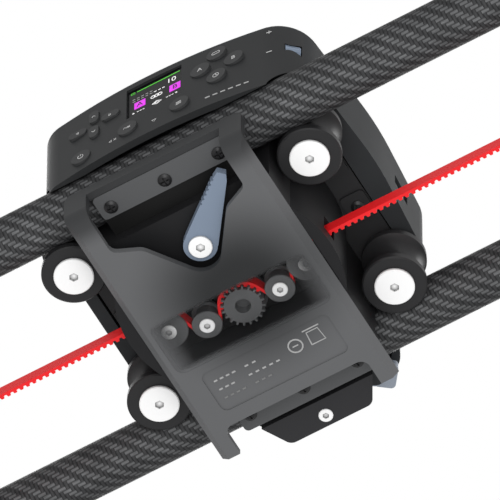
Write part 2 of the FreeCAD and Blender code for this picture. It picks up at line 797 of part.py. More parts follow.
def make_drive_window():
    """A smoked window flush in the cover, over the drive."""
    pane = slab(-window_half, window_half, window_front, window_rear, cover_low + 0.1,
                cover_low + 2.2, 3.9)
    sub_part("drive_window", pane)


def make_tube_guards():
    """Strips under the tubes, fixed to the frame's sides."""
    low = height(dim.guard_low_z)
    strips = []
    for across in BOTH:
        near = dim.frame_half_depth
        y0, y1 = span(across, dim.guard_step_y, dim.guard_outer_y)
        strip = slab(-30.4, 30.4, y0, y1, low, low + dim.guard_thickness, 2)
        y0, y1 = span(across, near, dim.guard_step_y + 3)
        strips.append(fuse(strip, box(-30.4, 30.4, y0, y1, low + 1, low + dim.guard_thickness)))
    doc.recompute()
    holes = [Part.makeCylinder(1.5, 10, Vector(x, y, low.number - 1)) for x, y in guard_screws()]
    shapes = [strip.Shape.cut(holes) for strip in strips]
    sub_part("tube_guards", compound("tube_guards", shapes))


def guard_screws():
    """Return the places of the screws in the tube guards."""
    return [(x, 56 * across) for across in BOTH for x in (-25, 0, 25)]


def make_cover_screws():
    """Black cross-head screws: six in the tube guards, four in the plate's hatches."""
    low = height(dim.guard_low_z)
    head = turned([(0, low - 1.2), (1.8, low - 1.2), (2.9, low - 0.4), (2.9, low), (1.5, low),
                   (1.5, low + dim.guard_thickness), (0, low + dim.guard_thickness)])
    cross = fuse(box(-1.8, 1.8, -0.35, 0.35, low - 2, low - 0.5),
                 box(-0.35, 0.35, -1.8, 1.8, low - 2, low - 0.5))
    screw = cut(head, cross)
    hatch_drop = height(dim.plate_low_z - 1.2) - low
    places = [(x, y, 0) for x, y in guard_screws()]
    places += [(53 * side, y, float(hatch_drop)) for side in BOTH for y in (-14.5, 8.5)]
    sub_part("cover_screws", copies("cover_screws", screw, places))


def make_chassis_plate():
    """The plate over the tubes, with roller bosses, hatches and a motor opening."""
    sheet_plate = slab(-58.8, 58.8, -55, 43.5, plate_low, plate_top, 8)
    slant = prism([(-58.8, -40.5), (-70, -40.5), (-70, -56), (-50.8, -56)], plate_low - 1,
                  plate_top + 1)
    tail = box(-31, 31, 43, 64, plate_low, plate_top)
    parts = [cut(sheet_plate, slant), tail]
    boss_low = dim.rail_level + dim.roller_half_height + 0.4
    holes = [box(-18, 18, dim.pulley_y - 18, dim.pulley_y + 18, plate_low - 1, plate_top + 1)]
    for x, y, _ in roller_places():
        parts.append(cylinder(6, boss_low, plate_low + 0.5, x=x, y=y))
        holes.append(cylinder(dim.bolt_radius, boss_low - 1, plate_top + 1, x=x, y=y))
    for side in BOTH:
        for y in (-14.5, 8.5):
            x0, x1 = span(side, as_size(47.6), as_size(58.4))
            parts.append(slab(x0, x1, y - 6.5, y + 6.5, plate_low - 1.2, plate_low + 0.5, 2))
            holes.append(cylinder(1.5, plate_low - 2, plate_low + 1.2, x=53 * side, y=y))
    sub_part("chassis_plate", cut(fuse(*parts), *holes))


def make_socket_screws():
    """Pale socket screws: clutch lever, rear bracket and the idlers' pins."""
    def screw(head_radius, head_low, head_top, shank, end, key):
        body = turned([(0, head_low), (head_radius - 0.3, head_low),
                       (head_radius, head_low + 0.3), (head_radius, head_top),
                       (shank, head_top), (shank, end), (0, end)])
        return cut(body, hexagon(key, head_low - 1, head_low + 0.9))

    idler_low = drive_low - 0.15
    idler_pin = screw(3.2, idler_low - 0.9, idler_low, pin_radius, height(-5.4), 2.5)
    lever_top = height(dim.lever_low_z) - 0.1
    lever_pin = screw(4.9, lever_top - 1.4, lever_top, 3, height(-15), 3.5)
    bracket_low = height(-9.3)
    bracket_pin = screw(3, bracket_low - 0.8, bracket_low, 1.5, bracket_low + 4, 2.5)
    doc.recompute()
    solids = []
    for x, y in idler_axes():
        solids.append(idler_pin.Shape.translated(Vector(float(x), float(y), 0)))
    solids.append(lever_pin.Shape.translated(Vector(0, float(dim.lever_y), 0)))
    solids.append(bracket_pin.Shape.translated(Vector(0, 74.4, 0)))
    sub_part("socket_screws", compound("socket_screws", solids))


def make_clutch_lever():
    """The metal lever that frees the belt drive, stepped along one edge."""
    low = height(dim.lever_low_z)
    high = low + dim.lever_thickness
    hub = cylinder(7, low, high)
    reach = dim.lever_length
    arm = prism([(2, -6.9), (reach - 5, -3.6), (reach, -2.2), (reach, 1.5),
                 (reach - 3, 2.6), (2, 6.9)], low, high)
    steps = []
    for index in range(6):
        x = reach - 4 - 2.4 * index
        steps.append(cylinder(0.55, low - 1, high + 1, x=x, y=-3.25 - 0.32 * index))
    bore = cylinder(3 + dim.running_gap, low - 1, high + 1)
    lever = cut(fuse(hub, arm), bore, *steps)
    lever.Placement.Rotation = FreeCAD.Rotation(Vector(0, 0, 1), -45.3)
    sub_part("clutch_lever", place(lever, y=dim.lever_y))


# --------------------------------------------------------------------------
# Housing: panel, shell, lid, screen, buttons and thumbwheel
# --------------------------------------------------------------------------
skirt_low = height(dim.skirt_low_z)
housing_low = height(dim.housing_low_z)
housing_top = height(dim.housing_top_z)
lid_seam = height(dim.lid_seam_z)


def panel_surface(x, inset=0):
    """Return Y of the bowed panel, or of a face behind it, at a distance from its middle."""
    bow = dim.panel_bow - inset
    return dim.panel_y + dim.panel_bow - (bow * bow - x * x).root()


def housing_prism(inset, low, high, roundness):
    """The housing's plan outline, drawn in by inset, between two heights.

    The left front corner is cut off by a slanting side.
    """
    corner_x, rear_x = dim.corner_x - inset, dim.rear_x - inset
    neck_x, tail_x = dim.neck_x - inset, dim.neck_x - inset - 1
    rear_y, neck_y, tail_y = dim.rear_y - inset, dim.neck_y - inset, dim.tail_y - inset
    side_x, left_x = dim.side_x - inset, dim.left_side_x - inset
    # Equal walls all round move the slanting side's ends by these shares of the inset.
    break_y = dim.left_break_y + inset * 0.2435
    left_corner_x = -(dim.left_corner_x - inset * 0.608)
    points = [
        (corner_x, panel_surface(corner_x, inset)), (side_x, dim.side_y), (rear_x, rear_y),
        (neck_x, neck_y), (tail_x, tail_y), (-tail_x, tail_y), (-neck_x, neck_y),
        (-rear_x, rear_y), (-left_x, break_y),
        (left_corner_x, panel_surface(left_corner_x, inset)),
    ]
    body = prism(points, low, high, bows={len(points) - 1: dim.panel_bow - inset})
    tail_radius = roundness / 2 + 1
    radii = [(corner_x, roundness), (side_x, 150), (rear_x, roundness - 3),
             (neck_x, tail_radius), (tail_x, tail_radius), (-tail_x, tail_radius),
             (-neck_x, tail_radius), (-rear_x, roundness - 3), (-left_x, roundness + 2),
             (left_corner_x, roundness - 6)]
    for (corner, _), (_, radius) in zip(points, radii):
        at = corner.number
        round_edges(body, radius, lambda edge: upright(edge)
                    and abs(edge.CenterOfMass.x - at) < 0.05)
    return body


def make_rim():
    """Return the inward rim along the housing's lower edge, beside the plate."""
    top = housing_low + 2
    ring = housing_prism(as_size(0.5), housing_low, top, dim.corner_radius)
    sides = [box(59.6, 75, -44, 43, housing_low, top), box(-75, -59.6, -36, 43, housing_low, top)]
    bosses = [cylinder(6.8, housing_low - 1, top + 1, x=x, y=y) for x, y, _ in roller_places()]
    return cut(common(ring, fuse(*sides)), *bosses)


def make_housing_shell():
    """Return the whole hollow housing, before it is split into its pieces."""
    outer = housing_prism(as_size(0), skirt_low, housing_top, dim.corner_radius)
    top = housing_top.number
    round_edges(outer, 3, lambda edge: abs(edge.BoundBox.ZMin - top) < 0.01
                and edge.BoundBox.ZLength < 0.01)
    inner = housing_prism(dim.wall, skirt_low - 1, housing_top - dim.wall,
                          dim.corner_radius - dim.wall)
    under = box(-90, 90, dim.panel_seam_y, 120, skirt_low - 2, housing_low)
    tunnel = cylinder(dim.tube_radius + 1, -90, 90, y=-dim.rail_spacing / 2,
                      z=dim.rail_level, axis="x")
    return fuse(cut(outer, inner, under, tunnel), make_rim())


class Button:
    """A push button: where it is, how large, and how round."""

    def __init__(self, name, x, z, wide=8.8, tall=8.8):
        self.name = name
        self.x = as_size(x)
        self.z = height(z)
        self.wide = wide
        self.tall = tall

    def solid(self, front, rear, grow=0.0):
        """Return the button's section between two depths, grown all round."""
        radius = min(self.wide, self.tall) / 2 + grow
        reach_x, reach_z = (self.wide / 2 + grow) - radius, (self.tall / 2 + grow) - radius
        if reach_x == reach_z == 0:
            return cylinder(radius, front, rear, x=self.x, z=self.z, axis="y")
        ends = [cylinder(radius, front, rear, x=self.x + reach_x * way,
                         z=self.z + reach_z * way, axis="y") for way in BOTH]
        wide, tall = max(reach_x, radius), max(reach_z, radius)
        return fuse(box(self.x - wide, self.x + wide, front, rear, self.z - tall,
                        self.z + tall), *ends)


BUTTONS = [
    Button("up_button", -24.7, 35.7, 4.5, 8.5),
    Button("down_button", -24.7, 23.7, 4.5, 8.5),
    Button("left_button", -32.7, 29.7, 8.4, 4.6),
    Button("right_button", -16.7, 29.7, 8.4, 4.6),
    Button("power_button", -31, 9.3),
    Button("mode_button", -8.5, 11.3),
    Button("menu_button", 15.5, 10.9),
    Button("point_a_button", 24.9, 30.6),
    Button("point_b_button", 39.7, 30),
    Button("loop_button", 32.1, 39),
    Button("ok_button", 32.1, 20.8),
]


def make_button(button):
    """A cap that shows through the panel, with a wider lip behind the wall."""
    surface = panel_surface(button.x)
    slant = abs(button.x.number) / dim.panel_bow.number * (button.wide / 2 + 0.5)
    lip_front = surface + dim.wall + slant + 0.12
    cap = button.solid(surface - dim.button_proud, lip_front + 0.3)
    lip = button.solid(lip_front, lip_front + 0.5, grow=0.5)
    sub_part(button.name, fuse(cap, lip))


def wheel_centre():
    """Return the thumbwheel's centre in plan, just inside the housing's corner."""
    corner = Vector(dim.corner_x.number, panel_surface(dim.corner_x).number, 0)
    inward = Vector(-1, 1, 0).normalize()
    depth = dim.corner_radius.number * (math.sqrt(2) - 1) + dim.wheel_depth.number
    return corner + inward * depth


def thumbwheel_blank(radius, width, spread=0.0):
    """Return a disc on the thumbwheel's slanted axis."""
    disc = doc.addObject("Part::Cylinder", "Disc")
    bind(disc, Radius=radius, Height=width)
    slant = FreeCAD.Rotation(Vector(0, 0, 1), Vector(1, 1, 0))
    start = wheel_centre() - Vector(1, 1, 0).normalize() * (float(width) / 2 + spread)
    disc.Placement = FreeCAD.Placement(start + Vector(0, 0, height(dim.wheel_z).number), slant)
    return disc


def wheel_opening():
    """Return the space that the thumbwheel needs in the housing."""
    tall, wide = 16.4, dim.wheel_width.number + 2
    slot = box(-wide / 2, wide / 2, -14, 2, -tall / 2, tall / 2)
    slot.Placement = FreeCAD.Placement(
        wheel_centre() + Vector(0, 0, height(dim.wheel_z).number),
        FreeCAD.Rotation(Vector(0, 0, 1), 45)).multiply(slot.Placement)
    return fuse(thumbwheel_blank(dim.wheel_radius + 0.5, dim.wheel_width + 1), slot)


def make_thumbwheel():
    """A grooved wheel with stub axles, half sunk in the panel's corner."""
    disc = thumbwheel_blank(dim.wheel_radius, dim.wheel_width)
    axle = thumbwheel_blank(1.5, dim.wheel_width + 5)
    tools = []
    doc.recompute()
    grooves = 24
    for index in range(grooves):
        groove = thumbwheel_blank(0.6, dim.wheel_width + 2)
        angle = 2 * math.pi * index / grooves
        offset = (Vector(1, -1, 0).normalize() * math.cos(angle) + Vector(0, 0, math.sin(angle)))
        groove.Placement.Base = groove.Placement.Base + offset * (dim.wheel_radius.number + 0.15)
        tools.append(groove)
    sub_part("thumbwheel", cut(fuse(disc, axle), *tools))


def make_housing():
    """The panel, the shell and the lid, all cut from one hollow outline."""
    shell = make_housing_shell()
    far, floor_level, roof = 120, skirt_low - 5, housing_top + 5
    panel_space = box(-far, far, -far, dim.panel_seam_y, floor_level, lid_seam)
    shell_space = box(-far, far, dim.panel_seam_y, far, floor_level, lid_seam)
    lid_space = box(-far, far, -far, far, lid_seam, roof)

    openings = [button.solid(as_size(-80), as_size(-60), grow=0.1) for button in BUTTONS]
    screen_hole = box(-9.3, 16.2, -80, -66, height(20), height(43))
    wheel_slot = wheel_opening()
    panel = cut(common(shell, panel_space), screen_hole, wheel_slot, *openings)
    sub_part("control_panel", panel)

    port = box(60, 75, 12, 24, height(27), height(33))
    rear_port = box(-75, -60, 8, 20, height(27), height(33))
    sub_part("carriage_housing", cut(common(shell, shell_space), port, rear_port, wheel_slot))

    hub_hole = cylinder(dim.pan_hub_radius + dim.running_gap, lid_seam - 5, roof)
    sub_part("housing_lid", cut(common(shell, lid_space), hub_hole))


def make_screen():
    """The display behind the panel's window, with its module."""
    glass = box(-9.3, 16.2, -70.1, -68.6, height(20), height(43))
    module = box(-11.5, 18.5, -66.9, -63, height(18), height(43.5))
    bridge = box(-9.2, 16.1, -68.6, -66.9, height(20.1), height(42.9))
    sub_part("display_screen", fuse(glass, bridge, module))


platform_low = housing_top + dim.platform_gap


def make_pan_platform():
    """The turning platform, its hub in the lid, with a recessed top."""
    base, top = platform_low, platform_low + dim.platform_height
    seat = dim.big_thread_radius + 0.6
    platform = turned([
        (dim.stud_root_radius, housing_top - 5), (dim.pan_hub_radius, housing_top - 5),
        (dim.pan_hub_radius, base), (dim.pan_radius - 1, base), (dim.pan_radius, base + 1),
        (dim.pan_radius, top - 1.5), (dim.pan_radius - 1.5, top),
        (seat, top), (seat, top - 0.8), (dim.stud_root_radius, top - 0.8),
    ])
    sub_part("pan_platform", platform)


def make_camera_stud():
    """A three-eighths stud that stands out of the platform."""
    top = platform_low + dim.platform_height
    radius = dim.big_thread_radius
    stud = turned([
        (0, housing_top - 5), (dim.stud_root_radius, housing_top - 5),
        (dim.stud_root_radius, top), (radius, top), (radius, top + dim.stud_height),
        (radius - 0.8, top + dim.stud_height + 0.8), (0, top + dim.stud_height + 0.8),
    ])
    sub_part("camera_stud", stud)


def make_electronics():
    """The control board on the plate and the battery in the housing's tail."""
    board_low = plate_top + 3
    board = box(-50, 50, -54, -14, board_low, board_low + 1.6)
    posts = [cylinder(2.5, plate_top, board_low + 0.01, x=45 * side, y=y)
             for side in BOTH for y in (-49, -19)]
    sub_part("control_board", fuse(board, *posts))
    pack = slab(-29, 29, 33, 78, plate_top, plate_top + 20, 3)
    sub_part("battery_pack", pack)


def make_battery_door():
    """The floor of the housing's tail, with the latch's pivot."""
    door = slab(-30, 30, 64, 78.5, housing_low + 0.5, housing_low + 3, 5)
    pin = cylinder(2.5, housing_low - 8, housing_low + 1, x=dim.latch_x, y=dim.latch_y)
    head = cylinder(4, housing_low - 9.5, housing_low - 7.9, x=dim.latch_x, y=dim.latch_y)
    sub_part("battery_door", fuse(door, pin, head))


def make_battery_latch():
    """A small metal lever that swings under the tail."""
    low, high = housing_low - 7.7, housing_low - 3.5
    hub = cylinder(5.5, low, high)
    arm = slab(-5.5, 5.5, 0, dim.latch_reach, low, high, 2)
    bore = cylinder(2.5 + dim.running_gap, low - 1, high + 1)
    latch = cut(fuse(hub, arm), bore)
    latch.Placement.Rotation = FreeCAD.Rotation(Vector(0, 0, 1), -52)
    sub_part("battery_latch", place(latch, dim.latch_x, dim.latch_y))


def make_rear_bracket():
    """The rounded tongue outside the rear tube, hung from the tail."""
    low = height(-9.3)
    tongue = prism([(-26, 67.2), (26, 67.2), (19, 79.4), (-19, 79.4)], low, low + 4)
    round_edges(tongue, 4, lambda edge: upright(edge) and edge.CenterOfMass.y > 70)
    web = box(-26, 15, 67.2, 70.2, low + 3.9, housing_low + 0.5)
    hole = cylinder(1.5, low - 1, low + 4, y=74.4)
    sub_part("rear_bracket", cut(fuse(tongue, web), hole))


# --------------------------------------------------------------------------
# Build, check and write
# --------------------------------------------------------------------------
def build():
    """Make every sub-part."""
    make_tube("tube_front", -1)
    make_tube("tube_rear", 1)
    for end, side in ENDS.items():
        make_end_block(f"end_block_{end}", side)
        make_belt_run(f"belt_{end}_run", side)
        for name, across in (("front", -1), ("rear", 1)):
            make_foot(f"foot_{end}_{name}", side, across)
            make_roller(f"roller_{end}_{name}", side, across)
        make_idler(f"large_idler_{end}", dim.big_idler_x * side, dim.big_idler_y,
                   dim.big_drum_radius, dim.big_flange_radius)
        make_idler(f"small_idler_{end}", dim.small_idler_x * side, dim.small_idler_y,
                   dim.small_drum_radius, dim.small_flange_radius)
    make_end_caps()
    make_clamp_screws()
    make_bumpers()
    make_belt_clamps()
    make_belt_loop()
    make_pulley()
    make_motor()
    make_motor_screws()
    make_roller_bolts()
    make_roller_bearings()
    make_chassis_frame()
    make_base_cover()
    make_drive_window()
    make_tube_guards()
    make_cover_screws()
    make_chassis_plate()
    make_socket_screws()
    make_clutch_lever()
    make_housing()
    make_screen()
    make_thumbwheel()
    for button in BUTTONS:
        make_button(button)
    make_pan_platform()
    make_camera_stud()
    make_electronics()
    make_battery_door()
    make_battery_latch()
    make_rear_bracket()


def check():
    """Stop if any object failed or any sub-part has no valid shape."""
    for thing in doc.Objects:
        if "Invalid" in thing.State or "Error" in thing.State:
            raise RuntimeError(f"{thing.Name} ({thing.Label}) failed: {thing.State}")
    for thing in sub_parts:
        if thing.Shape.isNull() or not thing.Shape.isValid():
            raise RuntimeError(f"{thing.Label} has no valid shape")


build()
doc.recompute()
check()
os.makedirs("parts", exist_ok=True)
for thing in sub_parts:
    thing.Shape.exportStep(f"parts/{thing.Label}.step")
print(f"{len(sub_parts)} sub-parts written")
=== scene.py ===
"""Looks of a motorised camera slider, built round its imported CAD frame.

Everything is in metres in the frame's own axes: +X along the tubes, +Y across
them with the control panel at -Y, and +Z up from the floor.
"""
import logging
import math
from dataclasses import dataclass, field
from enum import Enum
from typing import Callable, Optional, Sequence, Union

import bpy
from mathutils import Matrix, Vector


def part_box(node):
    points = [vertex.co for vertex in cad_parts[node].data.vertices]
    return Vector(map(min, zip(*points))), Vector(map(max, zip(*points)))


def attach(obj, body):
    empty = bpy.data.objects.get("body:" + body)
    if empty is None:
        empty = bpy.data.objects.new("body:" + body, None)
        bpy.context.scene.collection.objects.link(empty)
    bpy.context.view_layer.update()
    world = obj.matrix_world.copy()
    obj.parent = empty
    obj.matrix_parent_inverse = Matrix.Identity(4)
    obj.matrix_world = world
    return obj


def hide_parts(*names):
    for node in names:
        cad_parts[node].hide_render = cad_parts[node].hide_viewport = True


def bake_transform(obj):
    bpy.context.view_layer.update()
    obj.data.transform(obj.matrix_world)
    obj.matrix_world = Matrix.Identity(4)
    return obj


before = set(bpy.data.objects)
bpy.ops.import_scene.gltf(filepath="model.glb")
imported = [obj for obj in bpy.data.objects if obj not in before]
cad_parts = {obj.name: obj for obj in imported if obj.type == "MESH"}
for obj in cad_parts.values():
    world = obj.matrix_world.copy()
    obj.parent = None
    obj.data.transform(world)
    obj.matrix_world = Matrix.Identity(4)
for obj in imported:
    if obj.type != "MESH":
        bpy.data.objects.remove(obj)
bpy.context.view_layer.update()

LOG = logging.getLogger("camera_slider")
MM = 0.001

Colour = tuple[float, float, float]
Point = tuple[float, float, float]
Socket = bpy.types.NodeSocket
Edge = Union[float, Socket]

NUMBER, COLOUR, VECTOR = "NodeSocketFloat", "NodeSocketColor", "NodeSocketVector"
SURFACE_OUTPUTS = [("Colour", COLOUR), ("Roughness", NUMBER), ("Normal", VECTOR)]


class Side(Enum):
    """The two ends of the rail."""

    LEFT = -1
    RIGHT = 1

    @property
    def word(self) -> str:
        """Name used in the frame's nodes."""
        return self.name.lower()


class Row(Enum):
    """The two tubes."""

    FRONT = -1
    REAR = 1

    @property
    def word(self) -> str:
        """Name used in the frame's nodes."""
        return self.name.lower()


def middle(node: str) -> Vector:
    """Return the centre of a CAD node's box."""
    low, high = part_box(node)
    return (low + high) / 2


TUBE_LEVEL = middle("tube_front").z


# --------------------------------------------------------------------------
# Shared shader effects
# --------------------------------------------------------------------------
class NodeGroup:
    """A shader node group that is built once and placed in many materials."""

    def __init__(self, name: str, inputs: Sequence[tuple[str, str, object]],
                 outputs: Sequence[tuple[str, str]]) -> None:
        """Start an empty group.

        Args:
            name: the group's name.
            inputs: name, socket type and default of each input.
            outputs: name and socket type of each output.
        """
        self.tree = bpy.data.node_groups.new(name, "ShaderNodeTree")
        for label, kind, default in inputs:
            socket = self.tree.interface.new_socket(label, in_out="INPUT", socket_type=kind)
            socket.default_value = default
        for label, kind in outputs:
            self.tree.interface.new_socket(label, in_out="OUTPUT", socket_type=kind)
        self.enter = self.tree.nodes.new("NodeGroupInput")
        self.leave = self.tree.nodes.new("NodeGroupOutput")

    def add(self, kind: str, **settings: object) -> bpy.types.Node:
        """Add a node and set its properties."""
        node = self.tree.nodes.new(kind)
        for name, value in settings.items():
            setattr(node, name, value)
        return node

    def link(self, source: Socket, target: Socket) -> None:
        """Join two sockets."""
        self.tree.links.new(source, target)

    def put(self, value: object, target: Socket) -> None:
        """Feed a socket or a plain value to a socket."""
        if isinstance(value, Socket):
            self.link(value, target)
        else:
            target.default_value = value

    def maths(self, operation: str, first: object, second: object = None) -> Socket:
        """Add one sum.

        Args:
            operation: the Math node's operation.
            first: a socket or a number.
            second: a socket or a number, where the operation takes two.

        Returns:
            The result's socket.
        """
        node = self.add("ShaderNodeMath", operation=operation)
        for index, value in enumerate((first, second)):
            if value is not None:
                self.put(value, node.inputs[index])
        return node.outputs[0]

    def plus(self, first: object, second: object) -> Socket:
        """Return a sum."""
        return self.maths("ADD", first, second)

    def minus(self, first: object, second: object) -> Socket:
        """Return a difference."""
        return self.maths("SUBTRACT", first, second)

    def times(self, first: object, second: object) -> Socket:
        """Return a product."""
        return self.maths("MULTIPLY", first, second)

    def given(self, name: str) -> Socket:
        """Return what the material feeds to an input."""
        return self.enter.outputs[name]

    def give(self, name: str, value: Socket) -> None:
        """Send a value to an output."""
        self.link(value, self.leave.inputs[name])

    def offset(self) -> bpy.types.Node:
        """Return the distance of each point from the given centre."""
        away = self.add("ShaderNodeVectorMath", operation="SUBTRACT")
        self.link(self.place_coordinates(), away.inputs[0])
        self.link(self.given("Centre"), away.inputs[1])
        return away

    def split(self, vector: Socket) -> bpy.types.Node:
        """Return a vector's three parts."""
        parts = self.add("ShaderNodeSeparateXYZ")
        self.link(vector, parts.inputs[0])
        return parts

    def combine(self, first: Socket, second: Socket) -> Socket:
        """Return a vector of two parts."""
        node = self.add("ShaderNodeCombineXYZ")
        self.link(first, node.inputs[0])
        self.link(second, node.inputs[1])
        return node.outputs[0]

    def blend(self, factor: Socket, low: str, high: str) -> None:
        """Send a blend of two given colours to the colour output."""
        node = self.add("ShaderNodeMix", data_type="RGBA")
        self.link(factor, node.inputs["Factor"])
        self.link(self.given(low), node.inputs[6])
        self.link(self.given(high), node.inputs[7])
        self.give("Colour", node.outputs[2])

    def tint(self, tone: Socket) -> None:
        """Send the given colour, multiplied by a tone, to the colour output."""
        self.give("Colour", self.shade(self.given("Colour"), tone))

    def length(self, parts: bpy.types.Node) -> Socket:
        """Return the level distance of two parts."""
        squares = [self.times(parts.outputs[axis], parts.outputs[axis]) for axis in (0, 1)]
        return self.maths("POWER", self.plus(*squares), 0.5)

    def relief(self, height: Socket, distance: float, strength: Edge) -> None:
        """Send a bumped normal to the output."""
        bump = self.add("ShaderNodeBump")
        bump.inputs["Distance"].default_value = distance
        self.put(strength, bump.inputs["Strength"])
        self.link(height, bump.inputs["Height"])
        self.give("Normal", bump.outputs["Normal"])

    def place_coordinates(self, scale: Optional[Point] = None) -> Socket:
        """Return object coordinates, stretched by scale."""
        where = self.add("ShaderNodeTexCoord").outputs["Object"]
        if scale is None:
            return where
        stretch = self.add("ShaderNodeMapping")
        stretch.inputs["Scale"].default_value = scale
        self.link(where, stretch.inputs["Vector"])
        return stretch.outputs["Vector"]

    def noise(self, where: Socket, scale: object, detail: float,
              roughness: float = 0.5) -> Socket:
        """Return a noise pattern's value."""
        node = self.add("ShaderNodeTexNoise")
        self.link(where, node.inputs["Vector"])
        self.put(scale, node.inputs["Scale"])
        node.inputs["Detail"].default_value = detail
        node.inputs["Roughness"].default_value = roughness
        return node.outputs["Fac"]

    def shade(self, colour: Socket,
              value: Socket) -> Socket:
        """Return a colour multiplied by a value."""
        node = self.add("ShaderNodeVectorMath", operation="SCALE")
        self.link(colour, node.inputs[0])
        self.link(value, node.inputs["Scale"])
        return node.outputs[0]


def grain_group() -> bpy.types.ShaderNodeTree:
    """Build the moulded or blasted surface: cloudy tone and a fine pebbled relief."""
    group = NodeGroup("grain", [
        ("Colour", COLOUR, (0.5, 0.5, 0.5, 1)), ("Cloud", NUMBER, 0.1),
        ("Roughness", NUMBER, 0.5), ("Scale", NUMBER, 3000.0),
        ("Relief", NUMBER, 0.2),
    ], SURFACE_OUTPUTS)
    where = group.place_coordinates()
    cloud = group.minus(group.noise(where, 28.0, 3.0), 0.5)
    fine = group.noise(where, group.given("Scale"), 2.0)
    speck = group.times(group.minus(fine, 0.5), 0.35)
    total = group.plus(cloud, speck)
    tone = group.plus(group.times(total, group.given("Cloud")), 1.0)
    group.tint(tone)
    group.give("Roughness", group.plus(group.given("Roughness"), group.times(cloud, 0.12)))
    group.relief(fine, 0.05 * MM, group.given("Relief"))
    return group.tree


def turning_group() -> bpy.types.ShaderNodeTree:
    """Build the tool marks of turned or brushed metal: rings about an upright axis."""
    group = NodeGroup("turning", [
        ("Colour", COLOUR, (0.5, 0.5, 0.5, 1)), ("Marks", NUMBER, 0.15),
        ("Roughness", NUMBER, 0.3), ("Centre", VECTOR, (0, 0, 0)),
    ], SURFACE_OUTPUTS)
    parts = group.split(group.offset().outputs[0])
    line = group.combine(group.length(parts), parts.outputs[2])
    rings = group.noise(line, 5200.0, 2.0)
    centred = group.minus(rings, 0.5)
    tone = group.plus(group.times(centred, group.given("Marks")), 1.0)
    group.tint(tone)
    group.give("Roughness", group.plus(group.given("Roughness"), group.times(centred, 0.2)))
    group.relief(rings, 0.01 * MM, 0.4)
    return group.tree


def twill_group() -> bpy.types.ShaderNodeTree:
    """Build two-by-two twill of flat carbon tows, wrapped round a tube along X, with a painted
    sheen on the tows and painted shade where the tube turns away from the camera.
    """
    group = NodeGroup("twill", [
        ("Centre", VECTOR, (0, 0, 0)), ("Radius", NUMBER, 0.0108),
        ("Tow", NUMBER, 0.002), ("Dark", COLOUR, (0.01, 0.01, 0.01, 1)),
        # Bright is the colour of the painted sheen on the tows.
        ("Bright", COLOUR, (0.08, 0.08, 0.08, 1)),
    ], SURFACE_OUTPUTS)
    parts = group.split(group.offset().outputs[0])
    angle = group.maths("ARCTAN2", parts.outputs[1], parts.outputs[2])
    tow = group.given("Tow")
    around = group.maths("DIVIDE", group.times(angle, group.given("Radius")), tow)
    along = group.maths("DIVIDE", parts.outputs[0], tow)
    cell_around = group.maths("FLOOR", around)
    cell_along = group.maths("FLOOR", along)
    step = group.maths("FLOORED_MODULO", group.plus(cell_around, cell_along), 4.0)
    warp_over = group.maths("LESS_THAN", step, 1.5)
    weft_over = group.minus(1.0, warp_over)

    def crown(position: Socket) -> Socket:
        """Return how high a tow's rounded back is across its width."""
        off = group.minus(group.maths("FRACT", position), 0.5)
        return group.minus(1.0, group.times(group.times(off, off), 3.4))

    # Fibres are long one way and fine the other.
    long_way, fine_way = 0.5, 11.0
    warp_line = group.noise(group.combine(
        group.times(along, long_way), group.times(around, fine_way)), 1.0, 2.0)
    weft_line = group.noise(group.combine(
        group.times(along, fine_way), group.times(around, long_way)), 1.0, 2.0)
    # Painted sheen: one family of tows runs along the tube and gets a strong painted highlight on
    # its crowns; the other runs round it and gets a weaker one.
    painted_warp_sheen = group.times(group.times(crown(around), warp_line), 1.5)
    painted_weft_sheen = group.times(group.times(crown(along), weft_line), 0.55)
    # glow is the painted sheen blended into the colour; the cloth gives off no light.
    glow = group.plus(group.times(warp_over, painted_warp_sheen), group.times(weft_over, painted_weft_sheen))
    patch = group.noise(group.place_coordinates((90.0, 260.0, 260.0)), 1.0, 2.0)
    glow = group.times(glow, group.plus(patch, 0.45))
    # Painted shade: the colour darkens where the lacquered tube curves away from the camera.
    turned = group.add("ShaderNodeLayerWeight")
    turned.inputs["Blend"].default_value = 0.5
    glow = group.times(glow, group.minus(1.0, group.times(turned.outputs["Facing"], 0.85)))
    group.blend(glow, "Dark", "Bright")
    group.give("Roughness", group.minus(0.52, group.times(glow, 0.16)))
    height = group.plus(group.times(warp_over, crown(around)),
                        group.times(weft_over, crown(along)))
    group.relief(height, 0.06 * MM, 0.6)
    return group.tree


def ramp(group: NodeGroup, value: Socket, start: Edge, end: Edge) -> Socket:
    """Return a soft step of a value, from 0 at start to 1 at end."""
    node = group.add("ShaderNodeMapRange", interpolation_type="SMOOTHSTEP")
    group.link(value, node.inputs["Value"])
    group.put(start, node.inputs["From Min"])
    group.put(end, node.inputs["From Max"])
    return node.outputs["Result"]


def from_centre(group: NodeGroup) -> bpy.types.Node:
    """Return the split distances from the group's centre, in units of its reach."""
    scaled = group.add("ShaderNodeVectorMath", operation="DIVIDE")
    group.link(group.offset().outputs[0], scaled.inputs[0])
    group.link(group.given("Reach"), scaled.inputs[1])
    return group.split(scaled.outputs[0])


def fade_group() -> bpy.types.ShaderNodeTree:
    """Build the mask of the smoked pane: clear in the middle, opaque at its rim."""
    group = NodeGroup("fade", [
        ("Centre", VECTOR, (0, 0, 0)), ("Reach", VECTOR, (1, 1, 1)),
    ], [("Mask", NUMBER)])
    parts = from_centre(group)
    clear = group.times(*(
        group.minus(1.0, ramp(group, group.maths("ABSOLUTE", parts.outputs[axis]), start, end))
        for axis, start, end in ((0, 0.70, 1.10), (1, 0.80, 1.0))))
    group.give("Mask", group.minus(1.0, group.times(clear, 0.94)))
    return group.tree


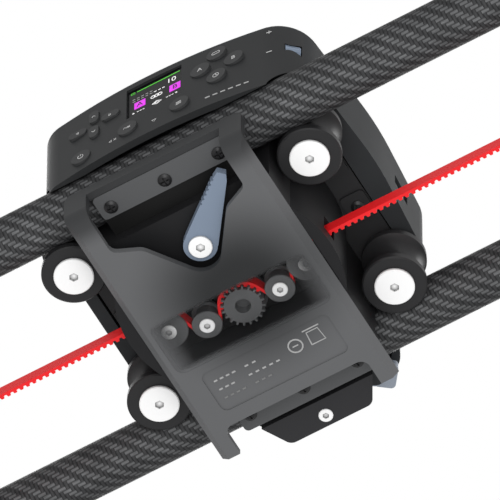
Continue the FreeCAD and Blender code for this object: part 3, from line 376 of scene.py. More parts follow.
def vignette_group() -> bpy.types.ShaderNodeTree:
    """Build the cover's painted shade: dark over the drive and on the arms' tips, pale at the
    edges.
    """
    group = NodeGroup("vignette", [
        ("Centre", VECTOR, (0, 0, 0)), ("Reach", VECTOR, (1, 1, 1)),
        ("Dark", COLOUR, (0.02, 0.02, 0.02, 1)),
        ("Pale", COLOUR, (0.1, 0.1, 0.1, 1)),
        ("Start", NUMBER, 0.30), ("End", NUMBER, 1.10),
        ("Tip start", NUMBER, -0.064), ("Tip end", NUMBER, -0.057),
    ], [("Colour", COLOUR)])
    parts = from_centre(group)
    pale = ramp(group, group.length(parts), group.given("Start"), group.given("End"))
    along = group.split(group.place_coordinates())
    tip = ramp(group, along.outputs[1], group.given("Tip start"), group.given("Tip end"))
    both = group.times(pale, group.plus(group.times(tip, 0.85), 0.15))
    group.blend(both, "Dark", "Pale")
    return group.tree


def hollow_group() -> bpy.types.ShaderNodeTree:
    """Build the painted shade that gathers in sockets and slots."""
    group = NodeGroup("hollow", [
        ("Colour", COLOUR, (1, 1, 1, 1)), ("Reach", NUMBER, 0.002),
        ("Depth", NUMBER, 0.8),
    ], [("Colour", COLOUR)])
    shade = group.add("ShaderNodeAmbientOcclusion")
    group.link(group.given("Reach"), shade.inputs["Distance"])
    closed = group.minus(1.0, shade.outputs["AO"])
    tone = group.minus(1.0, group.times(closed, group.given("Depth")))
    group.tint(group.maths("MAXIMUM", tone, 0.05))
    return group.tree


class Effects:
    """The shared shader effects, each built once."""

    grain = grain_group()
    turning = turning_group()
    twill = twill_group()
    fade = fade_group()
    vignette = vignette_group()
    hollow = hollow_group()


# --------------------------------------------------------------------------
# Finishes
# --------------------------------------------------------------------------
class Shader:
    """A material under construction: one Principled shader and what feeds it."""

    def __init__(self, name: str, **sockets: object) -> None:
        """Make the material and set the Principled shader's plain values."""
        self.material = bpy.data.materials.new(name)
        self.material.use_nodes = True
        self.tree = self.material.node_tree
        self.surface = self.tree.nodes["Principled BSDF"]
        for socket, value in sockets.items():
            self.surface.inputs[socket.replace("_", " ")].default_value = value

    def group(self, tree: bpy.types.ShaderNodeTree, **values: object) -> bpy.types.Node:
        """Place a shared effect with its own values."""
        node = self.tree.nodes.new("ShaderNodeGroup")
        node.node_tree = tree
        for socket, value in values.items():
            node.inputs[socket].default_value = value
        return node

    def chain(self, source: bpy.types.Node, target: bpy.types.Node) -> None:
        """Let one effect's colour be the next one's."""
        self.tree.links.new(source.outputs["Colour"], target.inputs["Colour"])

    def feed(self, node: bpy.types.Node, **links: str) -> None:
        """Link a node's outputs to the shader's sockets."""
        for socket, output in links.items():
            self.tree.links.new(node.outputs[output], self.surface.inputs[socket.replace("_", " ")])


@dataclass(frozen=True)
class Moulded:
    """Moulded plastic, paint or rubber with a pebbled surface."""

    name: str
    colour: Colour
    roughness: float = 0.5
    cloud: float = 0.12
    grain_scale: float = 3200.0
    relief: float = 0.25
    specular: float = 0.5
    metallic: float = 0.0

    def material(self) -> bpy.types.Material:
        """Return the finish as a material."""
        shader = Shader(self.name, Metallic=self.metallic, Specular_IOR_Level=self.specular)
        node = shader.group(Effects.grain, Colour=(*self.colour, 1), Cloud=self.cloud,
                            Roughness=self.roughness, Scale=self.grain_scale, Relief=self.relief)
        shader.feed(node, Base_Color="Colour", Roughness="Roughness", Normal="Normal")
        return shader.material


@dataclass(frozen=True)
class Turned:
    """Turned or brushed metal, with rings about an upright axis."""

    name: str
    colour: Colour
    roughness: float = 0.32
    marks: float = 0.25
    metallic: float = 0.9
    centre: Point = (0.0, 0.0, 0.0)
    specular: float = 0.5

    def material(self) -> bpy.types.Material:
        """Return the finish as a material."""
        shader = Shader(self.name, Metallic=self.metallic, Specular_IOR_Level=self.specular)
        node = shader.group(Effects.turning, Colour=(*self.colour, 1), Marks=self.marks,
                            Roughness=self.roughness, Centre=self.centre)
        shader.feed(node, Base_Color="Colour", Roughness="Roughness", Normal="Normal")
        return shader.material


@dataclass(frozen=True)
class CarbonTwill:
    """Clear-coated carbon cloth round one tube, with a painted sheen and painted shade in its
    colour.
    """

    name: str
    centre: Point
    radius: float
    tow: float = 1.7 * MM
    dark: Colour = (0.003, 0.003, 0.0035)
    # Colour of the painted sheen on the tows' crowns.
    bright: Colour = (0.180, 0.183, 0.188)

    def material(self) -> bpy.types.Material:
        """Return the finish as a material."""
        shader = Shader(self.name, Specular_IOR_Level=0.12)
        node = shader.group(Effects.twill, Centre=self.centre, Radius=self.radius, Tow=self.tow,
                            Dark=(*self.dark, 1), Bright=(*self.bright, 1))
        shader.feed(node, Base_Color="Colour", Roughness="Roughness", Normal="Normal")
        return shader.material


@dataclass(frozen=True)
class CoverPlastic:
    """The cover's plastic, with painted shade over the drive and on the arms' tips that gives way
    to its own pale grey at the edges; it can thin to clear.
    """

    name: str
    # dark is the colour of the painted shade; pale is the plastic's own grey.
    dark: Colour = (0.022, 0.023, 0.024)
    pale: Colour = (0.114, 0.116, 0.120)
    centre: Point = (0.006, -0.004, 0.0)
    reach: Point = (0.046, 0.044, 1.0)
    span: tuple[float, float] = (0.25, 1.10)
    # tips: where the painted shade on the arms' front tips ends, along Y in metres.
    tips: tuple[float, float] = (-0.063, -0.050)
    clear_centre: Optional[Point] = None
    clear_reach: Optional[Point] = None

    def material(self) -> bpy.types.Material:
        """Return the finish as a material."""
        shader = Shader(self.name, Specular_IOR_Level=0.18)
        tone = shader.group(Effects.vignette, Centre=self.centre, Reach=self.reach,
                            Dark=(*self.dark, 1), Pale=(*self.pale, 1),
                            Start=self.span[0], End=self.span[1])
        tone.inputs["Tip start"].default_value = self.tips[0]
        tone.inputs["Tip end"].default_value = self.tips[1]
        grain = shader.group(Effects.grain, Cloud=0.08, Roughness=0.5, Scale=3200.0,
                             Relief=0.12)
        shader.chain(tone, grain)
        shader.feed(grain, Base_Color="Colour", Roughness="Roughness", Normal="Normal")
        if self.clear_centre and self.clear_reach:
            fade = shader.group(Effects.fade, Centre=self.clear_centre, Reach=self.clear_reach)
            shader.feed(fade, Alpha="Mask")
        return shader.material


@dataclass(frozen=True)
class PaleHead:
    """Bright screw heads with a shaded socket."""

    name: str
    colour: Colour = (0.93, 0.93, 0.93)

    def material(self) -> bpy.types.Material:
        """Return the finish as a material."""
        shader = Shader(self.name, Specular_IOR_Level=0.2)
        grain = shader.group(Effects.turning, Colour=(*self.colour, 1), Marks=0.05,
                             Roughness=0.5)
        # Painted shade in each screw head's socket.
        hollow = shader.group(Effects.hollow, Reach=1.6 * MM, Depth=1.25)
        shader.chain(grain, hollow)
        shader.feed(grain, Roughness="Roughness", Normal="Normal")
        shader.feed(hollow, Base_Color="Colour")
        return shader.material


@dataclass(frozen=True)
class Ink:
    """Printed marks, or the lit parts of the display."""

    name: str
    colour: Colour
    glow: float = 0.0

    def material(self) -> bpy.types.Material:
        """Return the finish as a material."""
        shader = Shader(self.name, Emission_Strength=self.glow)
        shader.surface.inputs["Emission Color"].default_value = (*self.colour, 1)
        node = shader.group(Effects.grain, Colour=(*self.colour, 1), Cloud=0.15, Roughness=0.5,
                            Scale=6000.0, Relief=0.1)
        shader.feed(node, Base_Color="Colour", Roughness="Roughness")
        return shader.material


class Finishes:
    """Every material of the slider, by a maker's name."""

    def __init__(self) -> None:
        """Make the materials."""
        tube_low, tube_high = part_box("tube_front")
        radius = (tube_high.z - tube_low.z) / 2
        pane = middle("drive_window")
        pane_low, pane_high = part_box("drive_window")
        half = (pane_high - pane_low) / 2
        recipes = [
            *(CarbonTwill(f"carbon_{row.word}", tuple(middle(f"tube_{row.word}")), radius)
              for row in Row),
            # The cover's grey carries painted shade over the drive and on the arms' tips.
            CoverPlastic("cover_grey"),
            # Painted shade: the guard is near black within 51.5 mm of the middle across the tubes,
            # where the hollow under the cover's mouth is shaded, and its own grey outside.
            CoverPlastic("guard_grey", (0.006, 0.006, 0.006), (0.088, 0.090, 0.093),
                         (0.0, 0.0, 0.0), (10.0, 0.0515, 1.0), (0.99, 1.0), (-1.0, -0.9)),
            # The pane carries the same painted shade and fades to clear over the drive.
            CoverPlastic("fading_cover", clear_centre=tuple(pane), clear_reach=tuple(half)),
            Moulded("charcoal_shell", (0.030, 0.032, 0.034), 0.55, 0.12, specular=0.12),
            Moulded("panel_charcoal", (0.021, 0.022, 0.023), 0.5, 0.10, relief=0.2,
                    specular=0.18),
            Moulded("frame_black", (0.012, 0.012, 0.013), 0.5, 0.2, specular=0.2),
            Moulded("plate_black", (0.024, 0.024, 0.025), 0.5, 0.2, specular=0.2),
            Moulded("block_anodised", (0.035, 0.036, 0.039), 0.38, 0.12, 5200.0, 0.35,
                    metallic=0.3),
            Moulded("cap_satin", (0.075, 0.077, 0.080), 0.5, 0.12),
            Moulded("soft_rubber", (0.022, 0.022, 0.023), 0.75, 0.25, 1800.0, 0.5, 0.3),
            Moulded("key_rubber", (0.040, 0.041, 0.042), 0.55, 0.15, 4200.0, 0.2, 0.2),
            Moulded("roller_acetal", (0.019, 0.019, 0.020), 0.4, 0.1, 5200.0, 0.1, 0.25),
            Moulded("bracket_black", (0.026, 0.026, 0.028), 0.5, 0.2, specular=0.2),
            Moulded("red_urethane", (0.80, 0.014, 0.018), 0.42, 0.1, 2600.0, 0.3, 0.25),
            Moulded("solder_mask", (0.01, 0.08, 0.03), 0.3, 0.2),
            Moulded("shrink_wrap", (0.03, 0.04, 0.09), 0.3, 0.2),
            Moulded("screen_black", (0.003, 0.003, 0.004), 0.25, 0.1, 6000.0, 0.02, 0.15),
            Moulded("lever_blue", (0.200, 0.250, 0.330), 0.42, 0.12, 4200.0, 0.3, 0.35, 0.15),
            Moulded("latch_silver", (0.290, 0.325, 0.380), 0.42, 0.12, 4200.0, 0.3, 0.35, 0.15),
            PaleHead("pale_disc"),
            Turned("black_oxide", (0.02, 0.02, 0.021), 0.4, 0.3, 0.5),
            Turned("drive_anodised", (0.105, 0.107, 0.110), 0.45, 0.15, 0.1,
                   tuple(middle("drive_pulley")), 0.3),
            Turned("bearing_steel", (0.55, 0.55, 0.56), 0.3),
            Turned("stud_steel", (0.6, 0.6, 0.6), 0.25),
            Turned("platform_anodised", (0.04, 0.041, 0.043), 0.35, 0.4, 0.6,
                   tuple(middle("pan_platform"))),
            Ink("white_print", (0.55, 0.55, 0.55)),
            Ink("grey_print", (0.36, 0.36, 0.36)),
            Ink("faint_print", (0.17, 0.17, 0.17)),
            Ink("black_print", (0.01, 0.01, 0.01)),
            Ink("lit_white", (0.85, 0.85, 0.85), 0.35),
            Ink("lit_magenta", (0.72, 0.03, 0.80), 0.30),
            Ink("lit_green", (0.09, 0.50, 0.05), 0.30),
        ]
        self.made = {recipe.name: recipe.material() for recipe in recipes}

    def dress(self, thing: bpy.types.Object, finish: str) -> None:
        """Give a piece or a CAD node one finish all over."""
        thing.data.materials.clear()
        thing.data.materials.append(self.made[finish])
        for face in thing.data.polygons:
            face.material_index = 0


# --------------------------------------------------------------------------
# Workbench: modelling by operators
# --------------------------------------------------------------------------
class Bench:
    """Small modelling steps, each done as by hand."""

    @staticmethod
    def pick(*things: bpy.types.Object) -> None:
        """Select only these objects; the first is active."""
        bpy.ops.object.select_all(action="DESELECT")
        for thing in things:
            thing.select_set(True)
        bpy.context.view_layer.objects.active = things[0]

    @staticmethod
    def settle(thing: bpy.types.Object, name: str) -> bpy.types.Object:
        """Put the object's place into its mesh and name it."""
        Bench.pick(thing)
        bpy.ops.object.transform_apply(location=True, rotation=True, scale=True)
        thing.name = name
        thing.data.name = name
        return thing

    @staticmethod
    def box(name: str, low: Sequence[float], high: Sequence[float]) -> bpy.types.Object:
        """Return a box between two corners."""
        low, high = Vector(low), Vector(high)
        bpy.ops.object.select_all(action="DESELECT")
        bpy.ops.mesh.primitive_cube_add(size=1, location=(low + high) / 2, scale=high - low)
        return Bench.settle(bpy.context.active_object, name)

    @staticmethod
    def modify(thing: bpy.types.Object, kind: str, **settings: object) -> None:
        """Add a modifier with its settings and apply it."""
        Bench.pick(thing)
        bpy.ops.object.modifier_add(type=kind)
        modifier = thing.modifiers[-1]
        for name, value in settings.items():
            setattr(modifier, name, value)
        bpy.ops.object.modifier_apply(modifier=modifier.name)

    @staticmethod
    def smooth(thing: bpy.types.Object, degrees: float = 30.0) -> None:
        """Shade smooth except over sharp edges."""
        Bench.pick(thing)
        bpy.ops.object.shade_smooth_by_angle(angle=math.radians(degrees))

    @staticmethod
    def soften(thing: bpy.types.Object, width: float, segments: int = 2,
               degrees: float = 35.0) -> None:
        """Round the sharp edges a little."""
        Bench.modify(thing, "BEVEL", width=width, segments=segments, limit_method="ANGLE",
                     angle_limit=math.radians(degrees), use_clamp_overlap=True)
        Bench.smooth(thing)

    @staticmethod
    def join(name: str, things: Sequence[bpy.types.Object]) -> bpy.types.Object:
        """Make several meshes one piece."""
        Bench.pick(*things)
        if len(things) > 1:
            bpy.ops.object.join()
        return Bench.settle(bpy.context.active_object, name)

    @staticmethod
    def choose_faces(thing: bpy.types.Object,
                     wanted: Callable[[bpy.types.MeshPolygon], bool]) -> None:
        """Enter edit mode with only the wanted faces selected."""
        Bench.pick(thing)
        bpy.ops.object.mode_set(mode="EDIT")
        bpy.ops.mesh.select_mode(type="FACE")
        bpy.ops.mesh.select_all(action="DESELECT")
        bpy.ops.object.mode_set(mode="OBJECT")
        for face in thing.data.polygons:
            face.select = wanted(face)
        bpy.ops.object.mode_set(mode="EDIT")

    @staticmethod
    def stroke(points: Sequence[Vector], width: float, closed: bool = False
               ) -> bpy.types.Object:
        """Return a round bead drawn through points.

        Args:
            points: the bead's corners.
            width: its thickness.
            closed: whether it returns to its start.
        """
        points = list(points) + ([points[0]] if closed else [])
        bpy.ops.object.select_all(action="DESELECT")
        bpy.ops.mesh.primitive_plane_add(size=MM)
        bead = bpy.context.active_object
        bpy.ops.object.mode_set(mode="EDIT")
        bpy.ops.mesh.select_mode(type="VERT")
        bpy.ops.mesh.select_all(action="SELECT")
        bpy.ops.mesh.merge(type="CENTER")
        bpy.ops.transform.translate(value=points[0])
        for start, end in zip(points, points[1:]):
            bpy.ops.mesh.extrude_region_move(TRANSFORM_OT_translate={"value": end - start})
        Bench.done()
        bpy.ops.object.convert(target="CURVE")
        bead = bpy.context.active_object
        bead.data.bevel_depth = width / 2
        bead.data.bevel_resolution = 1
        bead.data.use_fill_caps = True
        bpy.ops.object.convert(target="MESH")
        return bpy.context.active_object

    @staticmethod
    def letters(body: str, size: float, centre: Vector, yaw: float,
                depth: float = 0.05 * MM) -> bpy.types.Object:
        """Return raised letters on an upright face that looks along -Y."""
        bpy.ops.object.select_all(action="DESELECT")
        bpy.ops.object.text_add(location=centre, rotation=(math.pi / 2, 0, yaw))
        text = bpy.context.active_object
        text.data.body = body
        text.data.size = size
        text.data.align_x = "CENTER"
        text.data.align_y = "CENTER"
        text.data.extrude = depth
        bpy.ops.object.convert(target="MESH")
        return bpy.context.active_object

    @staticmethod
    def done() -> None:
        """Leave edit mode."""
        bpy.ops.object.mode_set(mode="OBJECT")


# --------------------------------------------------------------------------
# Sub-assemblies
# --------------------------------------------------------------------------
@dataclass
class SubAssembly:
    """A group of pieces that are built and dressed together."""

    finishes: Finishes
    pieces: list[bpy.types.Object] = field(default_factory=list)

    def keep(self, piece: bpy.types.Object, body: str, slot: str, finish: str) -> None:
        """Dress a new piece and let it ride on a body.

        Args:
            piece: the finished mesh.
            body: the CAD body that it moves with.
            slot: the record's material slot that it belongs to; not used.
            finish: the name of its finish.
        """
        self.finishes.dress(piece, finish)
        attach(piece, body)
        self.pieces.append(piece)
        LOG.info("piece %s rides on %s", piece.name, body)

    def dress_all(self, table: dict[str, Sequence[str]]) -> None:
        """Give CAD nodes their finishes, from a table of finish and nodes."""
        for finish, nodes in table.items():
            for node in nodes:
                self.finishes.dress(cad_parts[node], finish)
                LOG.info("node %s is %s", node, finish)


@dataclass
class Rail(SubAssembly):
    """Tubes, end blocks, caps, feet and bumpers."""

    def build(self) -> None:
        """Dress the rail's nodes."""
        self.dress_all({
            **{f"carbon_{row.word}": [f"tube_{row.word}"] for row in Row},
            "block_anodised": [f"end_block_{side.word}" for side in Side],
            "cap_satin": ["end_caps"], "black_oxide": ["tube_clamp_screws"],
            "drive_anodised": ["belt_clamps"],
            "soft_rubber": ["bumpers", *(f"foot_{side.word}_{row.word}"
                                         for side in Side for row in Row)],
        })


@dataclass
class Belt(SubAssembly):
    """The toothed belt: a run at each side and the loop in the carriage."""

    pitch: float = 3.0 * MM
    sheet: float = 1.2 * MM
    tip_share: float = 0.62
    root_half: float = 0.95 * MM

    def build(self) -> None:
        """Make both runs and dress the loop."""
        for side in Side:
            self.make_run(side)
        self.dress_all({"red_urethane": ["belt_loop"]})

    def make_run(self, side: Side) -> None:
        """Model one tooth, repeat it, close the ends and stretch it over the slide."""
        node = f"belt_{side.word}_run"
        low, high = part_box(node)
        count = round((high.x - low.x) / self.pitch)
        name = f"belt_run_{side.word}"
        run = Bench.box(name, low, (low.x + self.pitch, low.y + self.sheet, high.z))
        centre = low.x + self.pitch / 2
        for cut in (centre - self.root_half, centre + self.root_half):
            Bench.pick(run)
            bpy.ops.object.mode_set(mode="EDIT")
            bpy.ops.mesh.select_all(action="SELECT")
            bpy.ops.mesh.bisect(plane_co=(cut, 0, 0), plane_no=(1, 0, 0))
            Bench.done()
        Bench.choose_faces(run, lambda face: face.normal.y > 0.9
                           and abs(face.center.x - centre) < self.root_half / 2)
        depth = high.y - low.y - self.sheet
        bpy.ops.mesh.extrude_region_move(TRANSFORM_OT_translate={"value": (0, depth, 0)})
        bpy.ops.transform.resize(value=(self.tip_share, 1, 1),
                                 center_override=(centre, high.y, 0))
        Bench.done()
        Bench.choose_faces(run, lambda face: abs(face.normal.x) > 0.9
                           and abs(face.center.x - centre) > self.pitch * 0.45)
        bpy.ops.mesh.delete(type="ONLY_FACE")
        Bench.done()
        Bench.modify(run, "ARRAY", count=count, use_relative_offset=False,
                     use_constant_offset=True, constant_offset_displace=(self.pitch, 0, 0),
                     use_merge_vertices=True, merge_threshold=0.01 * MM)
        Bench.pick(run)
        bpy.ops.object.mode_set(mode="EDIT")
        bpy.ops.mesh.select_all(action="SELECT")
        bpy.ops.mesh.fill_holes(sides=0)
        bpy.ops.mesh.normals_make_consistent(inside=False)
        Bench.done()
        self.finishes.dress(run, "red_urethane")
        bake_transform(run)
        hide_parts(node)
        self.pieces.append(run)
        LOG.info("piece %s stretches between rail and carriage", run.name)


@dataclass
class Drive(SubAssembly):
    """Rollers, pulley, idlers and their screws."""

    def build(self) -> None:
        """Dress the turning parts."""
        rollers = [f"roller_{side.word}_{row.word}" for side in Side for row in Row]
        idlers = [f"{kind}_idler_{side.word}" for kind in ("large", "small") for side in Side]
        self.dress_all({
            "roller_acetal": rollers,
            "drive_anodised": [*idlers, "drive_pulley"],
            "pale_disc": ["roller_bolts", "socket_screws"],
            "bearing_steel": ["roller_bearings", "motor_screws"],
            "frame_black": ["drive_motor"],
        })


@dataclass
class Carriage(SubAssembly):
    """Frame, cover, guards, plate and lever."""

    def build(self) -> None:
        """Dress the carriage's structure."""
        self.dress_all({
            "cover_grey": ["base_cover"], "guard_grey": ["tube_guards"],
            "fading_cover": ["drive_window"], "frame_black": ["chassis_frame"],
            "plate_black": ["chassis_plate"], "bracket_black": ["rear_bracket"],
            "black_oxide": ["cover_screws"], "lever_blue": ["clutch_lever"],
            "latch_silver": ["battery_latch"],
        })


@dataclass
class Housing(SubAssembly):
    """Shell, lid, panel, screen, keys and platform."""

    def build(self) -> None:
        """Dress the housing."""
        self.dress_all({
            "charcoal_shell": ["carriage_housing", "housing_lid", "battery_door"],
            "panel_charcoal": ["control_panel"], "screen_black": ["display_screen"],
            "lever_blue": ["thumbwheel"], "solder_mask": ["control_board"],
            "shrink_wrap": ["battery_pack"], "platform_anodised": ["pan_platform"],
            "stud_steel": ["camera_stud"],
            "key_rubber": [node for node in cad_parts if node.endswith("_button")],
        })


@dataclass(frozen=True)
class Page:
    """A flat place to draw on: a middle point and the directions of right and up."""

    centre: Vector
    right: Vector
    up: Vector
    yaw: float = 0.0

    def at(self, across: float, upwards: float) -> Vector:
        """Return a point of the page, given in millimetres."""
        return self.centre + (self.right * across + self.up * upwards) * MM

    def line(self, width: float, *points: tuple[float, float],
             closed: bool = False) -> bpy.types.Object:
        """Draw a line of a width through points, all in millimetres."""
        return Bench.stroke([self.at(*point) for point in points], width * MM, closed)

    def arc(self, width: float, radius: float, start: float, end: float,
            middle_point: tuple[float, float] = (0, 0), squash: float = 1.0
            ) -> bpy.types.Object:
        """Draw part of a circle between two angles in degrees."""
        steps = max(6, round(abs(end - start) / 20))
        points = []
        for step in range(steps + 1):
            angle = math.radians(start + (end - start) * step / steps)
            points.append((middle_point[0] + radius * math.cos(angle),
                           middle_point[1] + radius * squash * math.sin(angle)))
        return self.line(width, *points)

    def word(self, body: str, size: float, across: float = 0,
             upwards: float = 0) -> bpy.types.Object:
        """Write letters of a height in millimetres."""
        return Bench.letters(body, size * MM, self.at(across, upwards), self.yaw)


@dataclass
class Marks(SubAssembly):
    """Printed marks on keys, panel and cover, and the display's picture."""

    bow: float = 0.323

    def build(self) -> None:
        """Draw every mark."""
        self.draw_keys()
        self.draw_screen()
        self.draw_panel()
        self.draw_label()

    def draw_keys(self) -> None:
        """Put each key's sign on its cap; it moves with the key."""
        signs: dict[str, Callable[[Page], list[bpy.types.Object]]] = {
            "up": lambda page: [page.line(0.32, (-0.8, -0.3), (0, 0.5), (0.8, -0.3))],
            "down": lambda page: [page.line(0.32, (-0.8, 0.3), (0, -0.5), (0.8, 0.3))],
            "left": lambda page: [page.line(0.32, (0.5, -0.7), (-0.5, 0), (0.5, 0.7),
                                            closed=True)],
            "right": lambda page: [page.line(0.32, (-0.5, -0.7), (0.5, 0), (-0.5, 0.7),
                                             closed=True)],
            "power": lambda page: [page.arc(0.32, 1.25, 125, 415),
                                   page.line(0.32, (0, 0.4), (0, 1.7))],
            "mode": lambda page: [
                page.line(0.3, (-1.6, -0.3), (-1.0, 0.5), (-0.2, -0.3), (0.6, 0.5)),
                page.line(0.3, (0.4, -0.7), (1.5, 0.5)), page.line(0.3, (0.4, 0.5), (1.5, -0.7))],
            "menu": lambda page: [page.line(0.3, (-1.2, level), (1.2, level + 0.3))
                                  for level in (-0.95, -0.15, 0.65)],
            "point_a": lambda page: [page.word("A", 3.4)],
            "point_b": lambda page: [page.word("B", 3.4)],
            "loop": lambda page: [page.line(
                0.3, (-1.3, -0.8), (1.3, -0.8), (1.8, -0.3), (1.8, 0.3), (1.3, 0.8),
                (-1.3, 0.8), (-1.8, 0.3), (-1.8, -0.3), closed=True)],
            "ok": lambda page: [page.arc(0.3, 1.35, 0, 360),
                                page.line(0.3, (0, 0.9), (0, -0.1), (0.7, -0.4))],
        }
        for key, draw in signs.items():
            node = f"{key}_button"
            low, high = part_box(node)
            cap = Vector(((low.x + high.x) / 2, low.y, (low.z + high.z) / 2))
            page = Page(cap, Vector((1, 0, 0)), Vector((0, 0, 1)))
            self.keep(Bench.join(f"{key}_sign", draw(page)), node, "key", "white_print")

    def draw_screen(self) -> None:
        """Draw the display's picture in four colours."""
        low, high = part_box("display_screen")
        glass = Vector((3.45 * MM, low.y, TUBE_LEVEL + 31.5 * MM))
        page = Page(glass, Vector((1, 0, 0)), Vector((0, 0, 1)))
        white = [page.word("10", 4.6, 7.6, 4.6)]
        white += [page.arc(0.38, 1.0, 0, 360, (across, -2.0), 0.95)
                  for across in (-0.9, 0.7, 2.3)]
        white += [page.line(0.3, (-1.3, -7.7), (0.9, -6.4), (3.1, -7.7), (0.9, -9.0),
                            closed=True),
                  page.line(0.3, (-0.2, -7.7), (0.9, -7.0), (2.0, -7.7), (0.9, -8.4),
                            closed=True)]
        white += [page.line(0.42, (start, 1.7), (start + 1.1, 1.7))
                  for start in (-0.4, 1.6, 3.4)]
        white += [page.line(0.34, (start, -7.7), (start + 0.9, -7.7))
                  for start in (-8.4, -7.1, -5.8, 5.2, 6.5, 7.8)]
        white += [page.line(0.34, (-9.6, -7.7), (-10.4, -7.3), (-10.4, -8.1), closed=True),
                  page.line(0.34, (9.5, -7.7), (10.3, -7.3), (10.3, -8.1), closed=True)]
        faint = [page.line(0.42, (start, level), (start + 1.2, level))
                 for start in (-10.4, -8.4, -6.4, -4.4, -2.4) for level in (3.4, 1.7)]
        green = [page.line(0.5, (-8.4, 8.6), (11.6, 8.6)),
                 page.line(0.34, (-11.2, 8.1), (-9.4, 8.1), (-9.4, 9.1), (-11.2, 9.1),
                           closed=True)]
        tiles, names = [], []
        for across, name in ((-7.1, "A"), (9.3, "B")):
            corner = page.at(across - 2.6, -4.9)
            other = page.at(across + 2.6, 0.3)
            tile = Bench.box("tile", (corner.x, low.y - 0.04 * MM, corner.z),
                             (other.x, low.y + 0.1 * MM, other.z))
            Bench.soften(tile, 0.03 * MM)
            tiles.append(tile)
            face = Page(glass - Vector((0, 0.05 * MM, 0)), page.right, page.up)
            names.append(face.word(name, 4.4, across, -2.3))
        for name, strokes, ink in (
                ("white", white, "lit_white"), ("faint", faint, "grey_print"),
                ("green", green, "lit_green"), ("tiles", tiles, "lit_magenta"),
                ("names", names, "black_print")):
            self.keep(Bench.join(f"screen_{name}", strokes), "carriage", "screen", ink)

    def on_panel(self, across: float, level: float) -> Page:
        """Return a page on the bowed panel, at millimetres across and above the tubes."""
        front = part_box("control_panel")[0].y
        sweep = math.sqrt(self.bow ** 2 - (across * MM) ** 2)
        yaw = math.asin(across * MM / self.bow)
        spot = Vector((across * MM, front + self.bow - sweep, TUBE_LEVEL + level * MM))
        return Page(spot, Vector((math.cos(yaw), math.sin(yaw), 0)), Vector((0, 0, 1)), yaw)

    def draw_panel(self) -> None:
        """Draw the small signs beside the keys and a plain row of dashes."""
        plus, minus = self.on_panel(54.7, 42), self.on_panel(54.7, 26)
        down, left = self.on_panel(3.7, 7.6), self.on_panel(-15.1, 8.8)
        marks = [
            plus.line(0.35, (-1.1, 0), (1.1, 0)), plus.line(0.35, (0, -1.1), (0, 1.1)),
            minus.line(0.35, (-1.2, 0), (1.2, 0)),
            down.line(0.25, (-1.0, 0.7), (1.0, 0.7), (0, -0.8), closed=True),
            left.line(0.25, (-1.2, -0.6), (-2.4, 0.1), (-1.2, 0.8), closed=True),
            left.line(0.25, (-0.2, -0.5), (1.0, 0.7)), left.line(0.25, (-0.2, 0.7), (1.0, -0.5)),
        ]
        self.keep(Bench.join("panel_signs", marks), "carriage", "panel", "white_print")
        dashes = [self.on_panel(place, 6.9).line(0.75, (-1.05, 0), (1.05, 0))
                  for place in (28.0, 31.4, 34.8, 38.2, 41.6, 45.0)]
        self.keep(Bench.join("panel_dashes", dashes), "carriage", "panel", "grey_print")

    def draw_label(self) -> None:
        """Draw plain bars and two outlines in the cover's recess."""
        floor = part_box("base_cover")[0].z + 0.5 * MM
        page = Page(Vector((0, 0, floor)), Vector((1, 0, 0)), Vector((0, -1, 0)))
        rows = {
            "label_bars": [(-27.6, (-25.4, -22.6, -19.8, -17.0, -11.0, -7.6)),
                           (-32.0, (-25.4, -22.6, -19.8, -11.6, -8.4, -5.2, -2.0, 1.2))],
            "label_faint_bars": [(-36.4, (-25.4, -22.6, -19.8, -17.0, -11.0, -8.0, -5.0))],
        }
        for name, lines in rows.items():
            bars = [page.line(0.8, (start, level), (start + 1.6, level))
                    for level, starts in lines for start in starts]
            if name == "label_bars":
                bars += [
                    page.arc(0.7, 3.0, 0, 360, (11.5, -29.6)),
                    page.line(0.6, (10.2, -29.6), (12.8, -29.6)),
                    page.line(0.6, (17.6, -32.4), (18.2, -26.4), (23.4, -26.4), (24.0, -32.4),
                              closed=True),
                    page.line(0.6, (17.0, -25.2), (24.6, -25.2)),
                ]
            ink = "grey_print" if name == "label_bars" else "faint_print"
            self.keep(Bench.join(name, bars), "carriage", "cover", ink)


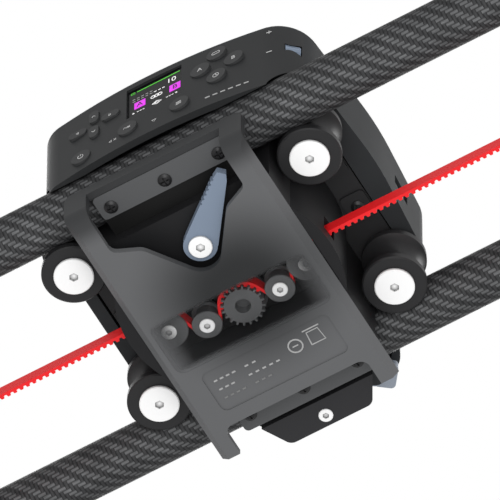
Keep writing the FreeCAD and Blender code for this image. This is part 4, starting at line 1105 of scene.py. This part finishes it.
# --------------------------------------------------------------------------
# Stage
# --------------------------------------------------------------------------
@dataclass
class Stage:
    """Camera, lights, floor and surroundings."""

    azimuth: float = 30.0
    elevation: float = -60.0
    field_width: float = 202.5 * MM
    aim_right: float = 6.37 * MM
    aim_up: float = 6.53 * MM
    lens: float = 1400.0
    sensor: float = 36.0
    floor_size: float = 12.0
    floor_shade: Colour = (0.86, 0.86, 0.87)
    floor_roughness: float = 0.7
    floor_drop: float = 0.2 * MM
    room_seen: float = 1.0
    room_light: float = 0.75
    clip: tuple[float, float] = (0.5, 60.0)

    def build(self) -> None:
        """Set the whole stage."""
        self.make_camera()
        self.make_floor()
        self.make_world()
        self.make_lights()

    def make_camera(self) -> None:
        """Place a long lens below the slider, so that its lines stay parallel."""
        turn, tilt = math.radians(self.azimuth), math.radians(self.elevation)
        back = Vector((math.sin(turn) * math.cos(tilt), -math.cos(turn) * math.cos(tilt),
                       math.sin(tilt)))
        right = Vector((math.cos(turn), math.sin(turn), 0))
        up = back.cross(right)
        aim = Vector((0, 0, TUBE_LEVEL)) + right * self.aim_right + up * self.aim_up
        distance = self.field_width / 2 / (self.sensor / 2 / self.lens)
        bpy.ops.object.camera_add(location=aim + back * distance)
        camera = bpy.context.active_object
        camera.name = "camera"
        camera.rotation_mode = "QUATERNION"
        camera.rotation_quaternion = (-back).to_track_quat("-Z", "Y")
        camera.data.lens = self.lens
        camera.data.sensor_width = self.sensor
        camera.data.clip_start, camera.data.clip_end = self.clip
        bpy.context.scene.camera = camera
        bpy.context.scene.view_settings.view_transform = "Standard"

    def make_floor(self) -> None:
        """Lay a pale floor that is clear when seen from below."""
        bpy.ops.object.select_all(action="DESELECT")
        bpy.ops.mesh.primitive_plane_add(size=self.floor_size, location=(0, 0, -self.floor_drop))
        floor = bpy.context.active_object
        floor.name = "floor"
        material = bpy.data.materials.new("pale_floor")
        material.use_nodes = True
        tree = material.node_tree
        paint = tree.nodes["Principled BSDF"]
        paint.inputs["Base Color"].default_value = (*self.floor_shade, 1)
        paint.inputs["Roughness"].default_value = self.floor_roughness
        clear = tree.nodes.new("ShaderNodeBsdfTransparent")
        side = tree.nodes.new("ShaderNodeNewGeometry")
        mix = tree.nodes.new("ShaderNodeMixShader")
        tree.links.new(side.outputs["Backfacing"], mix.inputs[0])
        tree.links.new(paint.outputs[0], mix.inputs[1])
        tree.links.new(clear.outputs[0], mix.inputs[2])
        tree.links.new(mix.outputs[0], tree.nodes["Material Output"].inputs["Surface"])
        floor.data.materials.append(material)
        floor.visible_diffuse = False
        floor.visible_glossy = False
        floor.visible_shadow = False

    def make_world(self) -> None:
        """Surround everything with white, brighter to the camera than to the slider."""
        world = bpy.data.worlds.new("white_room")
        bpy.context.scene.world = world
        world.use_nodes = True
        tree = world.node_tree
        seen = tree.nodes["Background"]
        seen.inputs["Color"].default_value = (1, 1, 1, 1)
        seen.inputs["Strength"].default_value = self.room_seen
        lit = tree.nodes.new("ShaderNodeBackground")
        lit.inputs["Color"].default_value = (1, 1, 1, 1)
        lit.inputs["Strength"].default_value = self.room_light
        path = tree.nodes.new("ShaderNodeLightPath")
        mix = tree.nodes.new("ShaderNodeMixShader")
        tree.links.new(path.outputs["Is Camera Ray"], mix.inputs[0])
        tree.links.new(lit.outputs[0], mix.inputs[1])
        tree.links.new(seen.outputs[0], mix.inputs[2])
        tree.links.new(mix.outputs[0], tree.nodes["World Output"].inputs["Surface"])

    def make_lights(self) -> None:
        """Hang three soft lamps: below, above and behind."""
        lamps = [
            ("under_lamp", (0.5, -0.9, -1.5), 1.2, 18.0),
            ("top_lamp", (-0.7, 0.9, 1.9), 1.5, 26.0),
            ("back_lamp", (0.9, 1.4, 0.9), 1.0, 12.0),
        ]
        for name, place, size, power in lamps:
            bpy.ops.object.light_add(type="AREA", location=place)
            lamp = bpy.context.active_object
            lamp.name = name
            lamp.data.size = size
            lamp.data.energy = power
            lamp.visible_camera = False
            aim = Vector((0, 0, TUBE_LEVEL)) - Vector(place)
            lamp.rotation_mode = "QUATERNION"
            lamp.rotation_quaternion = aim.to_track_quat("-Z", "Y")


def main() -> None:
    """Build the stage and every sub-assembly."""
    logging.basicConfig(level=logging.INFO, format="%(name)s: %(message)s")
    Stage().build()
    finishes = Finishes()
    for assembly in (Rail(finishes), Belt(finishes), Drive(finishes), Carriage(finishes),
                     Housing(finishes), Marks(finishes)):
        assembly.build()


if __name__ == "__main__":
    main()
